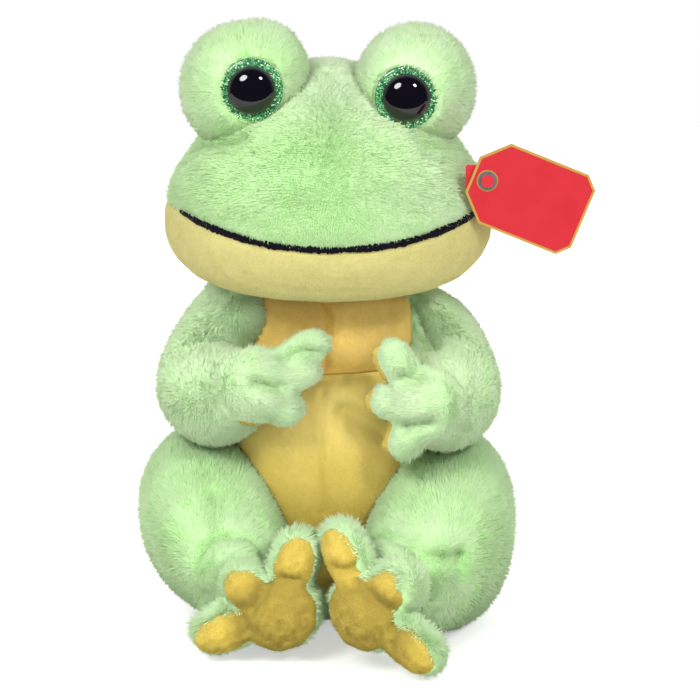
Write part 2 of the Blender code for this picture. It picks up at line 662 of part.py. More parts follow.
def build_tag(cheek):
    """Plastic fastener, metal eyelet and blank card; returns pieces of the head and of the tag."""
    pin_frame = facing_front(Vector((TAG_SPREAD, -TAG_FRONT, TAG_HEIGHT)))
    stack = TAG_THICKNESS / 2 + EYELET_LIP + SEAM_GAP
    clip_back = -TAG_FRONT + stack
    clip_right = TAG_SPREAD + PIN_HEAD_RADIUS
    clip = block("tag_fastener", (cheek.x - CLIP_WIDTH / 2, clip_back, TAG_HEIGHT - CLIP_HEIGHT / 2),
                 (cheek.x + CLIP_WIDTH / 2, clip_back + CLIP_THICKNESS, TAG_HEIGHT + CLIP_HEIGHT / 2),
                 RED_PLASTIC)
    soften = clip.modifiers.new("Edges", "BEVEL")
    soften.width = CLIP_BEVEL
    soften.segments = 1
    lug = block("tag_lug", (cheek.x, clip_back, TAG_HEIGHT - PIN_HEAD_RADIUS),
                (clip_right, clip_back + CLIP_THICKNESS / 2, TAG_HEIGHT + PIN_HEAD_RADIUS))
    boolean(clip, lug, "UNION")
    front = stack + PIN_HEAD_THICKNESS
    pin = turned("tag_pin", [(0, front), (PIN_HEAD_RADIUS, front), (PIN_HEAD_RADIUS, stack),
                             (PIN_RADIUS, stack), (PIN_RADIUS, -stack - PIN_SINK), (0, -stack - PIN_SINK)],
                 pin_frame, segments=CIRCLE_SEGMENTS)
    boolean(clip, pin, "UNION")
    anchor_frame = facing_front(Vector((cheek.x, clip_back + CLIP_THICKNESS / 2, TAG_HEIGHT)))
    length = cheek.y + ANCHOR_DEPTH - clip_back - CLIP_THICKNESS / 2
    anchor = turned("tag_anchor", [(0, 0), (ANCHOR_RADIUS, 0), (ANCHOR_RADIUS, BARB_LENGTH - length),
                                   (BARB_RADIUS, BARB_LENGTH - length), (0, -length)],
                    anchor_frame, segments=CIRCLE_SEGMENTS)
    boolean(clip, anchor, "UNION")
    room = BARB_RADIUS + SEAM_GAP
    hole = turned("anchor_hole", [(0, 0), (room, 0), (room, -length - SEAM_GAP), (0, -length - SEAM_GAP)],
                  anchor_frame, segments=CIRCLE_SEGMENTS)

    hang_turn = Matrix.Rotation(math.radians(TAG_HANG_DEG), 4, "Y")
    card_frame = Matrix.Translation((TAG_SPREAD, -TAG_FRONT, TAG_HEIGHT)) @ hang_turn
    left = -TAG_HOLE_INSET
    right = TAG_LENGTH - TAG_HOLE_INSET
    half = TAG_WIDTH / 2
    narrow = half - TAG_END_CUT
    outline = [(left, -narrow), (left + TAG_END_CUT, -half), (right - TAG_CORNER, -half),
               (right, TAG_CORNER - half), (right, half - TAG_CORNER), (right - TAG_CORNER, half),
               (left + TAG_END_CUT, half), (left, narrow)]
    card = prism_along_y("tag_card_shape", outline, -TAG_THICKNESS / 2, TAG_THICKNESS / 2)
    card_mesh = card.data
    bpy.data.objects.remove(card)
    card = place("tag_card", card_mesh, RED_CARD)
    card.matrix_world = card_frame
    bore = EYELET_RADIUS - EYELET_LIP
    room = bore + SEAM_GAP
    hole_tool = turned("card_hole", [(0, CUT_OVERRUN), (room, CUT_OVERRUN), (room, -CUT_OVERRUN), (0, -CUT_OVERRUN)],
                       pin_frame, segments=CIRCLE_SEGMENTS)
    boolean(card, hole_tool)
    half_card = TAG_THICKNESS / 2
    lip = half_card + EYELET_LIP
    seat = half_card + EYELET_SEAT
    flange = EYELET_RADIUS + EYELET_LIP
    eyelet = turned("tag_eyelet", [(flange, lip), (flange, seat), (bore, seat), (bore, -half_card),
                                   (EYELET_BORE, -half_card), (EYELET_BORE, lip)],
                    pin_frame, EYELET_METAL, segments=CIRCLE_SEGMENTS, closed=True)
    return clip, hole, card, eyelet


def build_head():
    """Green head, yellow jaw, eye mounds, eyes, mouth thread and tag, posed on the neck."""
    form = head_form()
    surface = surface_of(form)
    pivot = Vector((0, NECK_BACK, CHEEK_HEIGHT - HEAD_DROP))
    neck = hinge_point("neck_axis", pivot,
                       (0, math.radians(HEAD_ROLL_DEG), math.radians(HEAD_YAW_DEG)))
    trim_height = BODY_HEIGHT - NECK_RADIUS
    dome = neck_profile(NECK_RADIUS + NECK_GAP, trim_height)
    low = trim_height - CUT_OVERRUN
    socket = turned("neck_socket", dome + [(dome[-1][0], low), (0, low)],
                    Matrix.Translation((0, NECK_BACK, 0)), segments=NECK_SEGMENTS)

    upper = same_form(form, "head_upper", GREEN)
    jaw = same_form(form, "head_jaw", YELLOW)
    boolean(upper, jaw_cutter("mouth_room", SEAM_GAP))
    jaw_tool = jaw_cutter("jaw_keep", 0.0)
    boolean(jaw, jaw_tool, "INTERSECT")
    cheek = clip_place(surface)
    clip, hole, card, eyelet = build_tag(cheek)
    boolean(upper, hole)
    thread = build_mouth_thread(surface)
    clearance = swollen(form, SEAM_GAP)
    pieces = [form, upper, jaw, thread, clip, hole, clearance]
    pieces += [bpy.data.objects[name] for name in ("mouth_room", "jaw_keep", "tag_lug", "tag_pin", "tag_anchor")]

    for label, side in SIDES.items():
        middle = Vector((side * MOUND_SPREAD, MOUND_BACK, MOUND_HEIGHT))
        size = Matrix.Diagonal((MOUND_HALF_WIDTH, MOUND_HALF_DEPTH, MOUND_HALF_HEIGHT, 1.0))
        mound = ellipsoid("eye_mound_" + label, Matrix.Translation(middle) @ size,
                          MOUND_SEGMENTS, MOUND_RINGS, GREEN)
        boolean(mound, clearance)
        eye = build_eye(label, side, mound)
        pocket = bpy.data.objects["eye_pocket_" + label]
        boolean(upper, pocket)
        pieces += [mound, pocket, *eye]
    tag_axis = hinge_point("tag_axis", Vector((TAG_SPREAD, -TAG_FRONT, TAG_HEIGHT)))
    tag_pieces = [card, eyelet, bpy.data.objects["card_hole"]]
    for piece in pieces:
        straight = piece.matrix_world.copy()
        piece.parent = neck
        piece.matrix_parent_inverse = Matrix.Translation(-pivot)
        piece.matrix_basis = straight
    tag_axis.parent = neck
    tag_axis.matrix_parent_inverse = Matrix.Translation(-pivot)
    for piece in tag_pieces:
        straight = piece.matrix_world.copy()
        piece.parent = tag_axis
        piece.matrix_parent_inverse = Matrix.Translation(-tag_axis.location)
        piece.matrix_basis = straight
    boolean(upper, socket)
    boolean(jaw, socket)


def paw(label, kind, frame, radius, thickness, fan, reach, digit_radius, line_share, outer, inner, carrier):
    """A pad with three digits, split into its green back and its yellow face.

    The frame's local X runs with the toy's X, Y up and Z out of the toy.
    Digit angles are counted from the direction of the toy's middle.
    """
    inwards = -SIDES[label]
    squash = Matrix.Diagonal((radius, radius, thickness / 2, 1.0))
    form = ellipsoid(kind + "_form_" + label, frame @ squash, PAD_SEGMENTS, PAD_RINGS)
    for number, (angle, share) in enumerate(fan, start=1):
        turn = math.radians(angle)
        ahead = Vector((inwards * math.cos(turn), math.sin(turn), 0))
        across = Vector((-math.sin(turn), inwards * math.cos(turn), 0))
        out = Vector((0, 0, 1))
        flat = thickness / (2 * radius)
        rings = []
        for along, swell in DIGIT_STATION_SHARES:
            centre = ahead * (along * reach * share)
            thick = swell * digit_radius
            ring = egg_ring(centre, across, out, thick, thick, thick * (1 + flat) / 2, DIGIT_SIDES)
            rings.append([frame @ point for point in ring])
        root = frame @ (ahead * -digit_radius)
        tip = frame @ (ahead * (reach * share + digit_radius))
        digit = loft(f"{kind}_digit_{number}_{label}", rings, root, tip)
        boolean(form, digit, "UNION")
    boolean(form, carrier)
    wide = radius + 2 * reach
    line = line_share * thickness / 2
    slab = block(f"{kind}_slab_{label}", (-wide, -wide, line), (wide, wide, wide))
    slab.matrix_world = frame
    room = block(f"{kind}_slab_room_{label}", (-wide, -wide, line - SEAM_GAP), (wide, wide, wide))
    room.matrix_world = frame
    front_name, front_finish = outer
    rear_name, rear_finish = inner
    front = boolean(same_form(form, front_name + "_" + label, front_finish), slab, "INTERSECT")
    rear = boolean(same_form(form, rear_name + "_" + label, rear_finish), room)
    return front, rear


def shares_of(shares, side, size):
    """A point from shares of the sizes it follows, mirrored to its side."""
    return Vector((side * shares[0] * size[0], shares[1] * size[1], shares[2] * size[2]))


def paw_frame(place_point, side, yaw, roll):
    """Local Y up and Z to the front, turned to face the middle by yaw, and rolled."""
    axes = Matrix.Rotation(math.pi / 2, 4, "X")
    swing = Matrix.Rotation(-side * math.radians(yaw), 4, "Z")
    tip = Matrix.Rotation(-side * math.radians(roll), 4, "Y")
    return Matrix.Translation(place_point) @ swing @ tip @ axes


def build_arm(label, side, body_room):
    """Upper arm and forearm with its hand, hung on the shoulder seam."""
    size = (SHOULDER_SPREAD, ARM_FORWARD, SHOULDER_HEIGHT)
    path = [shares_of(shares, side, size) for shares in ARM_PATH_SHARES[label]]
    widths = [share * ARM_THICKNESS / 2 for share in ARM_WIDTH_SHARES]
    rises = [share * ARM_THICKNESS / 2 for share in ARM_RISE_SHARES]
    rings = limb_rings(path, widths, rises, rises, ARM_SIDES)
    start = path[0] + (path[0] - path[1]) * ARM_ROOT_SHARE
    end = path[-1] + (path[-1] - path[-2]).normalized() * widths[-1]
    arm = loft("arm_" + label, rings, start, end, GREEN)
    arm_room = swollen(arm, SEAM_GAP)
    boolean(arm, body_room)
    palm_point = shares_of(HAND_PLACE_SHARES[label], side, size)
    frame = paw_frame(palm_point, side, HAND_YAW_DEG[label], 0.0)
    hand, palm = paw(label, "hand", frame, HAND_RADIUS, HAND_THICKNESS, FINGER_FAN_SHARES[label], FINGER_REACH,
                     FINGER_RADIUS, PALM_LINE_SHARE, ("hand", GREEN), ("palm", YELLOW), arm_room)
    axis = hinge_point("shoulder_axis_" + label,
                       Vector((side * SHOULDER_AXIS_SPREAD, SHOULDER_AXIS_BACK, SHOULDER_HEIGHT)))
    return [arm, hand, palm], axis


def build_leg(label, side, body_room):
    """Thigh and shin with its foot, hung on the hip seam."""
    size = (LEG_SPREAD, LEG_FORWARD, LEG_HEIGHT)
    path = [shares_of(shares, side, size) for shares in LEG_PATH_SHARES[label]]
    widths = [share * LEG_WIDTH / 2 for share in LEG_WIDTH_SHARES]
    rises = [share * LEG_RISE for share in LEG_RISE_SHARES[label]]
    drops = [share * point.z for share, point in zip(LEG_DROP_SHARES[label], path)]
    rings = limb_rings(path, widths, rises, drops, LEG_SIDES,
                       LEG_TOP_TAPER_SHARE, LEG_UNDER_TAPER_SHARES[label])
    start = path[0] + (path[0] - path[1]) * LEG_ROOT_SHARE
    end = path[-1] + (path[-1] - path[-2]).normalized() * widths[-1]
    leg = loft("leg_" + label, rings, start, end, GREEN)
    leg_room = swollen(leg, SEAM_GAP)
    boolean(leg, body_room)
    boolean(leg, FLOOR)
    sole_point = shares_of(FOOT_PLACE_SHARES[label], side, size)
    frame = paw_frame(sole_point, side, FOOT_YAW_DEG[label], FOOT_ROLL_DEG[label])
    fan = tuple((180.0 - angle, share) for angle, share in TOE_FAN_SHARES[label])
    sole, foot = paw(label, "foot", frame, FOOT_RADIUS, FOOT_THICKNESS, fan, TOE_REACH,
                     TOE_RADIUS, SOLE_LINE_SHARE, ("sole", YELLOW), ("foot", GREEN), leg_room)
    axis = hinge_point("hip_axis_" + label, Vector((side * HIP_AXIS_SPREAD, HIP_AXIS_BACK, LEG_HEIGHT)))
    return [leg, foot, sole], axis


def main():
    body = build_body()
    body_room = swollen(body, SEAM_GAP)
    build_head()
    for label, side in SIDES.items():
        for build in (build_arm, build_leg):
            pieces, axis = build(label, side, body_room)
            for piece in pieces:
                hang([piece], axis)


main()
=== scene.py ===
# %% [markdown]
# # A sitting plush frog
# The toy is sewn from two cloths: a green one with a combed pile of about 2 mm, and a yellow
# one shaved to a fine nap. It is stuffed, so every form is round and pulls in at its seams.
# The solids of the CAD model give each form and its place. This script grows the cloth,
# the eyes, the stitched mouth and the blank tag on them.

# %% Load the frame and keep its size
import math

import bmesh
import bpy
import numpy as np
from mathutils import Matrix, Vector, noise
from mathutils.bvhtree import BVHTree
from mathutils.kdtree import KDTree


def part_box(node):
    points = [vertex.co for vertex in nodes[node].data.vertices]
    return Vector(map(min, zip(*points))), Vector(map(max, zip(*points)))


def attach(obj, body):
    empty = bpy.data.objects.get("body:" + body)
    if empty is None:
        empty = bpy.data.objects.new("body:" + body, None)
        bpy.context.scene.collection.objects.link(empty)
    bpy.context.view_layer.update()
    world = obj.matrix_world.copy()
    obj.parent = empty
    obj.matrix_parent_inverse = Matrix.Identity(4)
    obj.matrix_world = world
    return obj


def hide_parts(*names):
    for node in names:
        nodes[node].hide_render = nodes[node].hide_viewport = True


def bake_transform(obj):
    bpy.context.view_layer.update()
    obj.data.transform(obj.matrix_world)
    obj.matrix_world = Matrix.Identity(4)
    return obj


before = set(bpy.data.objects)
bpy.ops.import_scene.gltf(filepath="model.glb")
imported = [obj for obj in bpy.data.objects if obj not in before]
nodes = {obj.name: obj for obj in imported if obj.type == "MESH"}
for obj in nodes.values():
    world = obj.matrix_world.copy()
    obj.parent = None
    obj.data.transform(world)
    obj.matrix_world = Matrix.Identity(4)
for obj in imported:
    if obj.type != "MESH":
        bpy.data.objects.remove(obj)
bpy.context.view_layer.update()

# %% [markdown]
# ## Where the camera stands
# The photograph is taken from a little above the toy and straight in front of it. A long lens
# keeps the feet from looking too big. The camera looks at a point in the middle of the toy.

# %% Camera
MM = 0.001
PICTURE = 700
AIM = Vector((6 * MM, -10 * MM, 71.8 * MM))
CAMERA_DISTANCE = 750 * MM
CAMERA_RISE = math.radians(12)
LENS = 148.3
SENSOR = 36
camera_data = bpy.data.cameras.new("camera")
camera_data.lens = LENS
camera_data.sensor_width = SENSOR
camera = bpy.data.objects.new("camera", camera_data)
bpy.context.scene.collection.objects.link(camera)
back_way = Vector((0, -math.cos(CAMERA_RISE), math.sin(CAMERA_RISE)))
camera.location = AIM + CAMERA_DISTANCE * back_way
camera.rotation_euler = (-back_way).to_track_quat("-Z", "Y").to_euler()
bpy.context.scene.camera = camera
bpy.context.scene.view_settings.view_transform = "Standard"
print("the camera is", round(camera.location.z / MM), "mm up")


# %% [markdown]
# ## Light and floor
# Soft toys are photographed under large, even lights, which keep the pile from looking harsh.
# Two round lamps also leave the two small highlights in each eye, and a third one, which no
# gloss shows, fills the shade under the chin. The white of the background is the world's
# colour for camera rays, so that it adds no light to the toy.

# %% Colours and nodes
def linear(code):
    """The linear colour, with alpha, of an sRGB hex code."""
    parts = [int(code[i:i + 2], 16) / 255 for i in (1, 3, 5)]
    return [c / 12.92 if c <= 0.04045 else ((c + 0.055) / 1.055) ** 2.4 for c in parts] + [1.0]


def add(tree, kind, links=None, **settings):
    """One shader node: its settings, then its links by the name or number of the input.

    A setting that starts with in_ is an input's value. A linked node means its first output.
    """
    node = tree.nodes.new("ShaderNode" + kind)
    for key, value in settings.items():
        if key.startswith("in_"):
            key = key[3:]
            socket = node.inputs[int(key) if key.isdigit() else key.replace("_", " ")]
            socket.default_value = value
        else:
            setattr(node, key, value)
    for key, source in (links or {}).items():
        tree.links.new(getattr(source, "outputs", [source])[0], node.inputs[key])
    return node


def texture(tree, kind, **settings):
    """A texture node in the piece's own coordinates."""
    where = add(tree, "TexCoord")
    return add(tree, kind, {"Vector": where.outputs["Object"]}, **settings)


def new_material(name, **inputs):
    """A material, its node tree and its Principled node with these inputs set."""
    material = bpy.data.materials.new(name)
    material.use_nodes = True
    tree = material.node_tree
    surface = tree.nodes["Principled BSDF"]
    for key, value in inputs.items():
        surface.inputs[key.replace("_", " ")].default_value = value
    return material, tree, surface


# %% Lamps
def lamp(name, place, size, power):
    """A round area lamp that looks at the toy."""
    data = bpy.data.lights.new(name, "AREA")
    data.shape = "DISK"
    data.size = size
    data.energy = power
    thing = bpy.data.objects.new(name, data)
    bpy.context.scene.collection.objects.link(thing)
    thing.location = Vector(place)
    thing.rotation_euler = (Vector(place) - AIM).to_track_quat("Z", "Y").to_euler()
    return thing


lamp("key_lamp", (-0.50, -1.00, 0.84), size=0.50, power=9.6)
lamp("side_lamp", (0.60, -0.98, 0.84), size=0.20, power=5.6)
fill_lamp = lamp("fill_lamp", (0.12, -1.30, 0.24), size=1.30, power=3.2)
fill_lamp.visible_glossy = False
print("three round lamps look at the toy")

# %% World
SKY_LIGHT = 0.78
STUDIO_DARK = 0.08
WHITE = 1.0
world = bpy.data.worlds.new("studio")
bpy.context.scene.world = world
world.use_nodes = True
sky = world.node_tree
sky.nodes.clear()
way = add(sky, "LightPath")
looking = add(sky, "TexCoord")
toward = add(sky, "SeparateXYZ", {0: looking.outputs["Generated"]})
# A gloss shows the white backdrop behind the toy, and less of the room in front of it.
room = add(sky, "MapRange", {"Value": toward.outputs["Y"]},
           in_1=-0.3, in_2=0.3, in_3=STUDIO_DARK, in_4=WHITE)
gloss = add(sky, "Mix", {"Factor": way.outputs["Is Glossy Ray"], 3: room},
            in_2=SKY_LIGHT)
seen = add(sky, "Math",
           {0: way.outputs["Is Camera Ray"], 1: way.outputs["Is Transmission Ray"]},
           operation="MAXIMUM")
level = add(sky, "Mix", {"Factor": seen, 2: gloss}, in_3=WHITE)
glow = add(sky, "Background", {"Strength": level}, in_Color=(1, 1, 1, 1))
add(sky, "OutputWorld", {"Surface": glow})
print("the world lights the toy at", SKY_LIGHT)

# %% Paper floor
FLOOR_LIFT = 0.45
FLOOR_HALF = 0.6
FLOOR_FRONT = -0.24


def shown(name, form):
    """A new object at the origin from a bmesh."""
    mesh = bpy.data.meshes.new(name)
    form.to_mesh(mesh)
    form.free()
    thing = bpy.data.objects.new(name, mesh)
    bpy.context.scene.collection.objects.link(thing)
    return thing


def paper_material():
    """Matt white paper, lifted to the white of the background where the camera sees it."""
    material, tree, paper = new_material("white_paper", Base_Color=linear("#F4F4F2"),
                                         Roughness=0.9, Emission_Color=(1, 1, 1, 1))
    # The grain of the paper, in clumps of about a millimetre.
    fibre = texture(tree, "TexNoise", in_Scale=900.0)
    bump = add(tree, "Bump", {"Height": fibre},
               in_Strength=0.05, in_Distance=0.1 * MM)
    tree.links.new(bump.outputs[0], paper.inputs["Normal"])
    way = add(tree, "LightPath")
    lift = add(tree, "Math", {0: way.outputs["Is Camera Ray"]},
               operation="MULTIPLY", in_1=FLOOR_LIFT)
    tree.links.new(lift.outputs[0], paper.inputs["Emission Strength"])
    return material


form = bmesh.new()
bmesh.ops.create_grid(form, x_segments=1, y_segments=1, size=FLOOR_HALF,
                      matrix=Matrix.Translation((0, FLOOR_HALF + FLOOR_FRONT, 0)))
floor = shown("floor", form)
floor.data.materials.append(paper_material())
print("the floor is", 2 * FLOOR_HALF, "m wide")

# %% [markdown]
# ## Pile cloth
# Plush is a cloth with fibres standing on it. Strands of hair would not leave Blender with the
# model, so the pile here is mesh: the skin is made of even little faces, and every face is
# poked, which raises its middle to a tip. The tips lean the way the pile is combed and draw
# together in small tufts, and each one is coloured from its root to its tip along its own map.

# %% Pile colours
# Across the map a tuft goes from root to tip, and up the map from shaded to frosted. The
# export bakes a piece through a map of this name.
PILE_MAP = "OFBake"
MIDDLE_AT = 0.4
TIP_AT = 0.85
SHADE_LEAST = 0.60
FROST_MOST = 0.9


def pile_material(name, root, middle, tip, frost, sheen):
    """Knitted polyester: matt fibres with a pale sheen at grazing angles, deeper at the root."""
    material, tree, cloth = new_material(name, Roughness=0.92, Specular_IOR_Level=0.2,
                                         Sheen_Weight=sheen, Sheen_Roughness=0.55,
                                         Sheen_Tint=linear(frost))
    where = add(tree, "UVMap", uv_map=PILE_MAP)
    split = add(tree, "SeparateXYZ", {0: where})
    fibre = add(tree, "ValToRGB", {0: split})
    fibre.color_ramp.elements[0].color = linear(root)
    fibre.color_ramp.elements[1].color = linear(tip)
    fibre.color_ramp.elements[1].position = TIP_AT
    fibre.color_ramp.elements.new(MIDDLE_AT).color = linear(middle)
    pale = add(tree, "MapRange", {"Value": split.outputs[1]},
               in_1=0.45, in_2=1.0, in_3=0.0, in_4=FROST_MOST)
    whiten = add(tree, "Mix", {"Factor": pale, 6: fibre},
                 data_type="RGBA", in_7=linear(frost))
    shade = add(tree, "MapRange", {"Value": split.outputs[1]},
                in_1=0.0, in_2=0.5, in_3=SHADE_LEAST, in_4=1.0)
    deepen = add(tree, "Mix", {6: whiten.outputs[2], 7: shade},
                 data_type="RGBA", blend_type="MULTIPLY", in_Factor=1.0)
    tree.links.new(deepen.outputs[2], cloth.inputs["Base Color"])
    return material


GREEN_PILE = pile_material("polyester_pile_green", root="#78C15A", middle="#B6EC97",
                           tip="#D5F9BA", frost="#ECFCD8", sheen=0.32)
YELLOW_NAP = pile_material("polyester_nap_pale_yellow", root="#CDC278", middle="#D5CB81",
                           tip="#DCD48E", frost="#E6DFA7", sheen=0.14)
AMBER_NAP = pile_material("polyester_nap_amber", root="#C6AB45", middle="#D5BB53",
                          tip="#E0C961", frost="#F0DC82", sheen=0.12)
# The chest's copy of the amber nap is paler and more orange: painted light where the jaw's shadow
# falls on the chest.
CHEST_AMBER_PAINTED_LIGHT = pile_material("polyester_nap_amber_painted_light", root="#CBA145", middle="#E3BA57",
                               tip="#EFCB66", frost="#F7DC86", sheen=0.14)
print("four cloths, the first is", GREEN_PILE.name)


# %% [markdown]
# ## From a solid to a stuffed skin
# Voxel remeshing fuses the solids of one sewn form, such as an arm and its hand, into one
# closed skin with even faces, and smoothing takes away the facets.

# %% Skins from solids
MERGE = 0.01 * MM
SMOOTHING = 0.5


def settle(thing):
    """Put the modifiers' result in the mesh."""
    graph = bpy.context.evaluated_depsgraph_get()
    mesh = bpy.data.meshes.new_from_object(thing.evaluated_get(graph))
    thing.modifiers.clear()
    old = thing.data
    thing.data = mesh
    bpy.data.meshes.remove(old)


def smoothed(thing, factor, rounds):
    """Draw each vertex towards its neighbours, in rounds."""
    relax = thing.modifiers.new("Relax", "SMOOTH")
    relax.factor = factor
    relax.iterations = rounds


def fused(thing, voxel):
    """Join what overlaps or nearly touches into one skin of faces as wide as the voxel."""
    fuse = thing.modifiers.new("Fuse", "REMESH")
    fuse.mode = "VOXEL"
    fuse.voxel_size = voxel


def stuffed_skin(name, node_names, swell, rounds, voxel=0.9 * MM):
    """Copies of CAD nodes grown a little, fused and smoothed to one closed skin."""
    form = bmesh.new()
    for node in node_names:
        form.from_mesh(nodes[node].data)
    bmesh.ops.remove_doubles(form, verts=form.verts, dist=MERGE)
    thing = shown(name, form)
    grow = thing.modifiers.new("Grow", "DISPLACE")
    grow.mid_level = 0.0
    grow.strength = swell
    fused(thing, voxel)
    smoothed(thing, SMOOTHING, rounds)
    settle(thing)
    return thing


# %% Points, normals and search trees
def read(items, field, width=3, kind=np.float32):
    """One field of the vertices, faces or corners of a mesh, as an array."""
    values = np.empty(width * len(items), kind)
    items.foreach_get(field, values)
    return values.reshape(-1, width)


def points_of(mesh):
    """The place of each vertex."""
    return read(mesh.vertices, "co")


def normals_of(mesh):
    """The way out of the cloth at each vertex."""
    return read(mesh.vertex_normals, "vector")


def tree_of(mesh):
    """A search tree over the faces of a mesh."""
    faces = [list(polygon.vertices) for polygon in mesh.polygons]
    return BVHTree.FromPolygons(points_of(mesh).tolist(), faces)


def away_from_node(name, places):
    """How far each place is from the surface of a CAD node."""
    tree = tree_of(nodes[name].data)
    return np.array([tree.find_nearest(Vector(place))[3] for place in places])


def unit(ways):
    """The same directions with a length of one."""
    return ways / np.maximum(np.linalg.norm(ways, axis=-1, keepdims=True), 1e-12)


def between(values, low, high):
    """0 at or under low, 1 at or over high."""
    return np.clip((values - low) / (high - low), 0, 1)


# %% [markdown]
# ## Folds, seams and swellings
# What the needle pulls in, such as seams, folds and dimples, is pressed into the skin before
# the pile is laid, and where the filling pushes, the skin is let out. Each one is given by a
# few pixels of the 700 x 700 photograph, counted from its top left corner. A ray from the
# camera through each pixel finds its place on the skin.

# %% Pressing
def spots(thing, pixels):
    """The points of a skin that the camera sees at these pixels."""
    tree = tree_of(thing.data)
    turn = camera.rotation_euler.to_matrix()
    focus = camera_data.lens / camera_data.sensor_width * PICTURE
    found = []
    for x, y in pixels:
        sight = turn @ Vector((x - PICTURE / 2, PICTURE / 2 - y, -focus))
        hit = tree.ray_cast(camera.location, sight.normalized())[0]
        if hit is not None:
            found.append(hit)
    return found


def distance_to(places, route):
    """How far each place is from a route of straight runs."""
    route = np.array([tuple(point) for point in route], float)
    nearest = np.full(len(places), 1e9)
    for start, end in zip(route[:-1], route[1:]):
        run = end - start
        share = np.clip((places - start) @ run / (run @ run), 0, 1)
        foot = start + share[:, None] * run
        nearest = np.minimum(nearest, np.linalg.norm(places - foot, axis=1))
    return nearest


folded = {}  # the folds of each skin, by its name, for the pile that is laid on it later


def press(thing, folds):
    """Pull the skin in along each fold, with soft sides.

    A fold is its pixels, then its width and its depth in millimetres and how far the pile lies
    down in it, which also paints shade into its pile. Where the depth is negative, the cloth is
    let out.
    """
    for pixels, (width, depth, flat) in folds:
        route = spots(thing, pixels)
        if len(route) < 2:
            print(thing.name, "a fold misses the skin")
            continue
        places = points_of(thing.data)
        pull = depth * MM * np.exp(-(distance_to(places, route) / (width * MM)) ** 2)
        moved = places - normals_of(thing.data) * pull[:, None]
        thing.data.vertices.foreach_set("co", moved.astype(np.float32).ravel())
        thing.data.update()
        folded.setdefault(thing.name, []).append((route, width * MM, flat))


def ironed(thing, shares, rounds):
    """Smooth a skin further, each vertex by its own share."""
    group = thing.vertex_groups.new(name="iron")
    for i, share in enumerate(shares):
        group.add([i], float(share), "REPLACE")
    smoothed(thing, SMOOTHING, rounds)
    thing.modifiers["Relax"].vertex_group = "iron"
    settle(thing)
    thing.vertex_groups.clear()


def let_out(thing, way, amount):
    """Let the cloth out on the side that faces one way."""
    way = unit(np.array(way, float))
    faces_it = np.clip(normals_of(thing.data) @ way, 0, 1)[:, None]
    moved = points_of(thing.data) + faces_it * way * amount
    thing.data.vertices.foreach_set("co", moved.astype(np.float32).ravel())
    thing.data.update()


# %% [markdown]
# ## Laying the pile
# The skin is remeshed to one small face for each tuft. The length of a tuft is cut where
# another form is close in front of it, so that the pile of two neighbours meets in a crease
# and does not grow through the next cloth.

# %% Room for a tuft
START_BACK = 0.5 * MM
START_CLEAR = 0.2 * MM
NO_CLOTH = ("tag", "mouth", "pellet")


def others_tree(own):
    """A search tree over the CAD nodes that this skin does not stand for."""
    places, faces = [], []
    for name, node in nodes.items():
        if name in own or name.startswith(NO_CLOTH):
            continue
        first = len(places)
        places += [vertex.co.copy() for vertex in node.data.vertices]
        faces += [[first + i for i in polygon.vertices] for polygon in node.data.polygons]
    return BVHTree.FromPolygons(places, faces)


def room_above(middles, ways, reach, others, own):
    """How far a tuft may stand at each face before it meets a neighbour or its own skin."""
    room = np.full(len(middles), reach)
    for i, (middle, way) in enumerate(zip(middles, ways)):
        start, out = Vector(middle), Vector(way)
        hit = others.ray_cast(start - out * START_BACK, out, reach + START_BACK)
        if hit[0] is not None:
            room[i] = max(hit[3] - START_BACK, 0.0)
        mine = own.ray_cast(start + out * START_CLEAR, out, reach)
        if mine[0] is not None:
            room[i] = min(room[i], mine[3] / 2)
    return room


# %% One face for each tuft
FACES_KEPT = 0.55
COARSE = 1.0


def scattered(thing, cell):
    """An even net of triangles in no rows, about one for each tuft. Rows would look woven."""
    odd = Matrix.Rotation(0.6, 4, Vector((0.5, 0.7, 0.4)))
    thing.data.transform(odd)
    fused(thing, cell)
    settle(thing)
    thing.data.transform(odd.inverted())
    smoothed(thing, SMOOTHING, 2)
    split = thing.modifiers.new("Split", "TRIANGULATE")
    split.quad_method = "BEAUTY"
    thin_out = thing.modifiers.new("Thin out", "DECIMATE")
    thin_out.ratio = FACES_KEPT
    smoothed(thing, SMOOTHING, 2)
    settle(thing)


# %% Heights and clumps
CLUMP = 1.8 * MM
LONGEST = 1.3
WISP_GROWTH = (0.95, 1.2)
PLAIN_GROWTH = (0.6, 0.9)
rng = np.random.default_rng(7)


def lying_down(thing, middles):
    """How far the folds near each face press its pile down, and so paint shade into it."""
    pressed = np.zeros(len(middles))
    for route, width, flat in folded.get(thing.name, []):
        pressed = np.maximum(pressed, flat * np.exp(-(distance_to(middles, route) / width) ** 2))
    return pressed


def heights(thing, own, middles, out, full, wisps):
    """The height of each tuft. A share of them stand out as wisps."""
    count = len(middles)
    reach = float(full.max()) * LONGEST
    room = room_above(middles, out, reach, others_tree(own), tree_of(thing.data))
    growth = np.where(rng.random(count) < wisps,
                      rng.uniform(*WISP_GROWTH, count), rng.uniform(*PLAIN_GROWTH, count))
    return np.minimum(full * growth, room)


def clumps(middles, cell):
    """The tufts at the hearts of the clumps, and which clump each tuft belongs to."""
    count = len(middles)
    heart_count = max(int(count * cell * cell * 0.9 / CLUMP ** 2), 8)
    hearts = rng.choice(count, heart_count, replace=False)
    tree = KDTree(heart_count)
    for i, face in enumerate(hearts):
        tree.insert(middles[face], i)
    tree.balance()
    return hearts, np.array([tree.find(middle)[1] for middle in middles])


# %% Tips and their colours
BALD = 0.25 * MM
CLOUD = 9 * MM
FLECK = 3 * MM
DEEPEST = 0.03
PALEST = 0.97


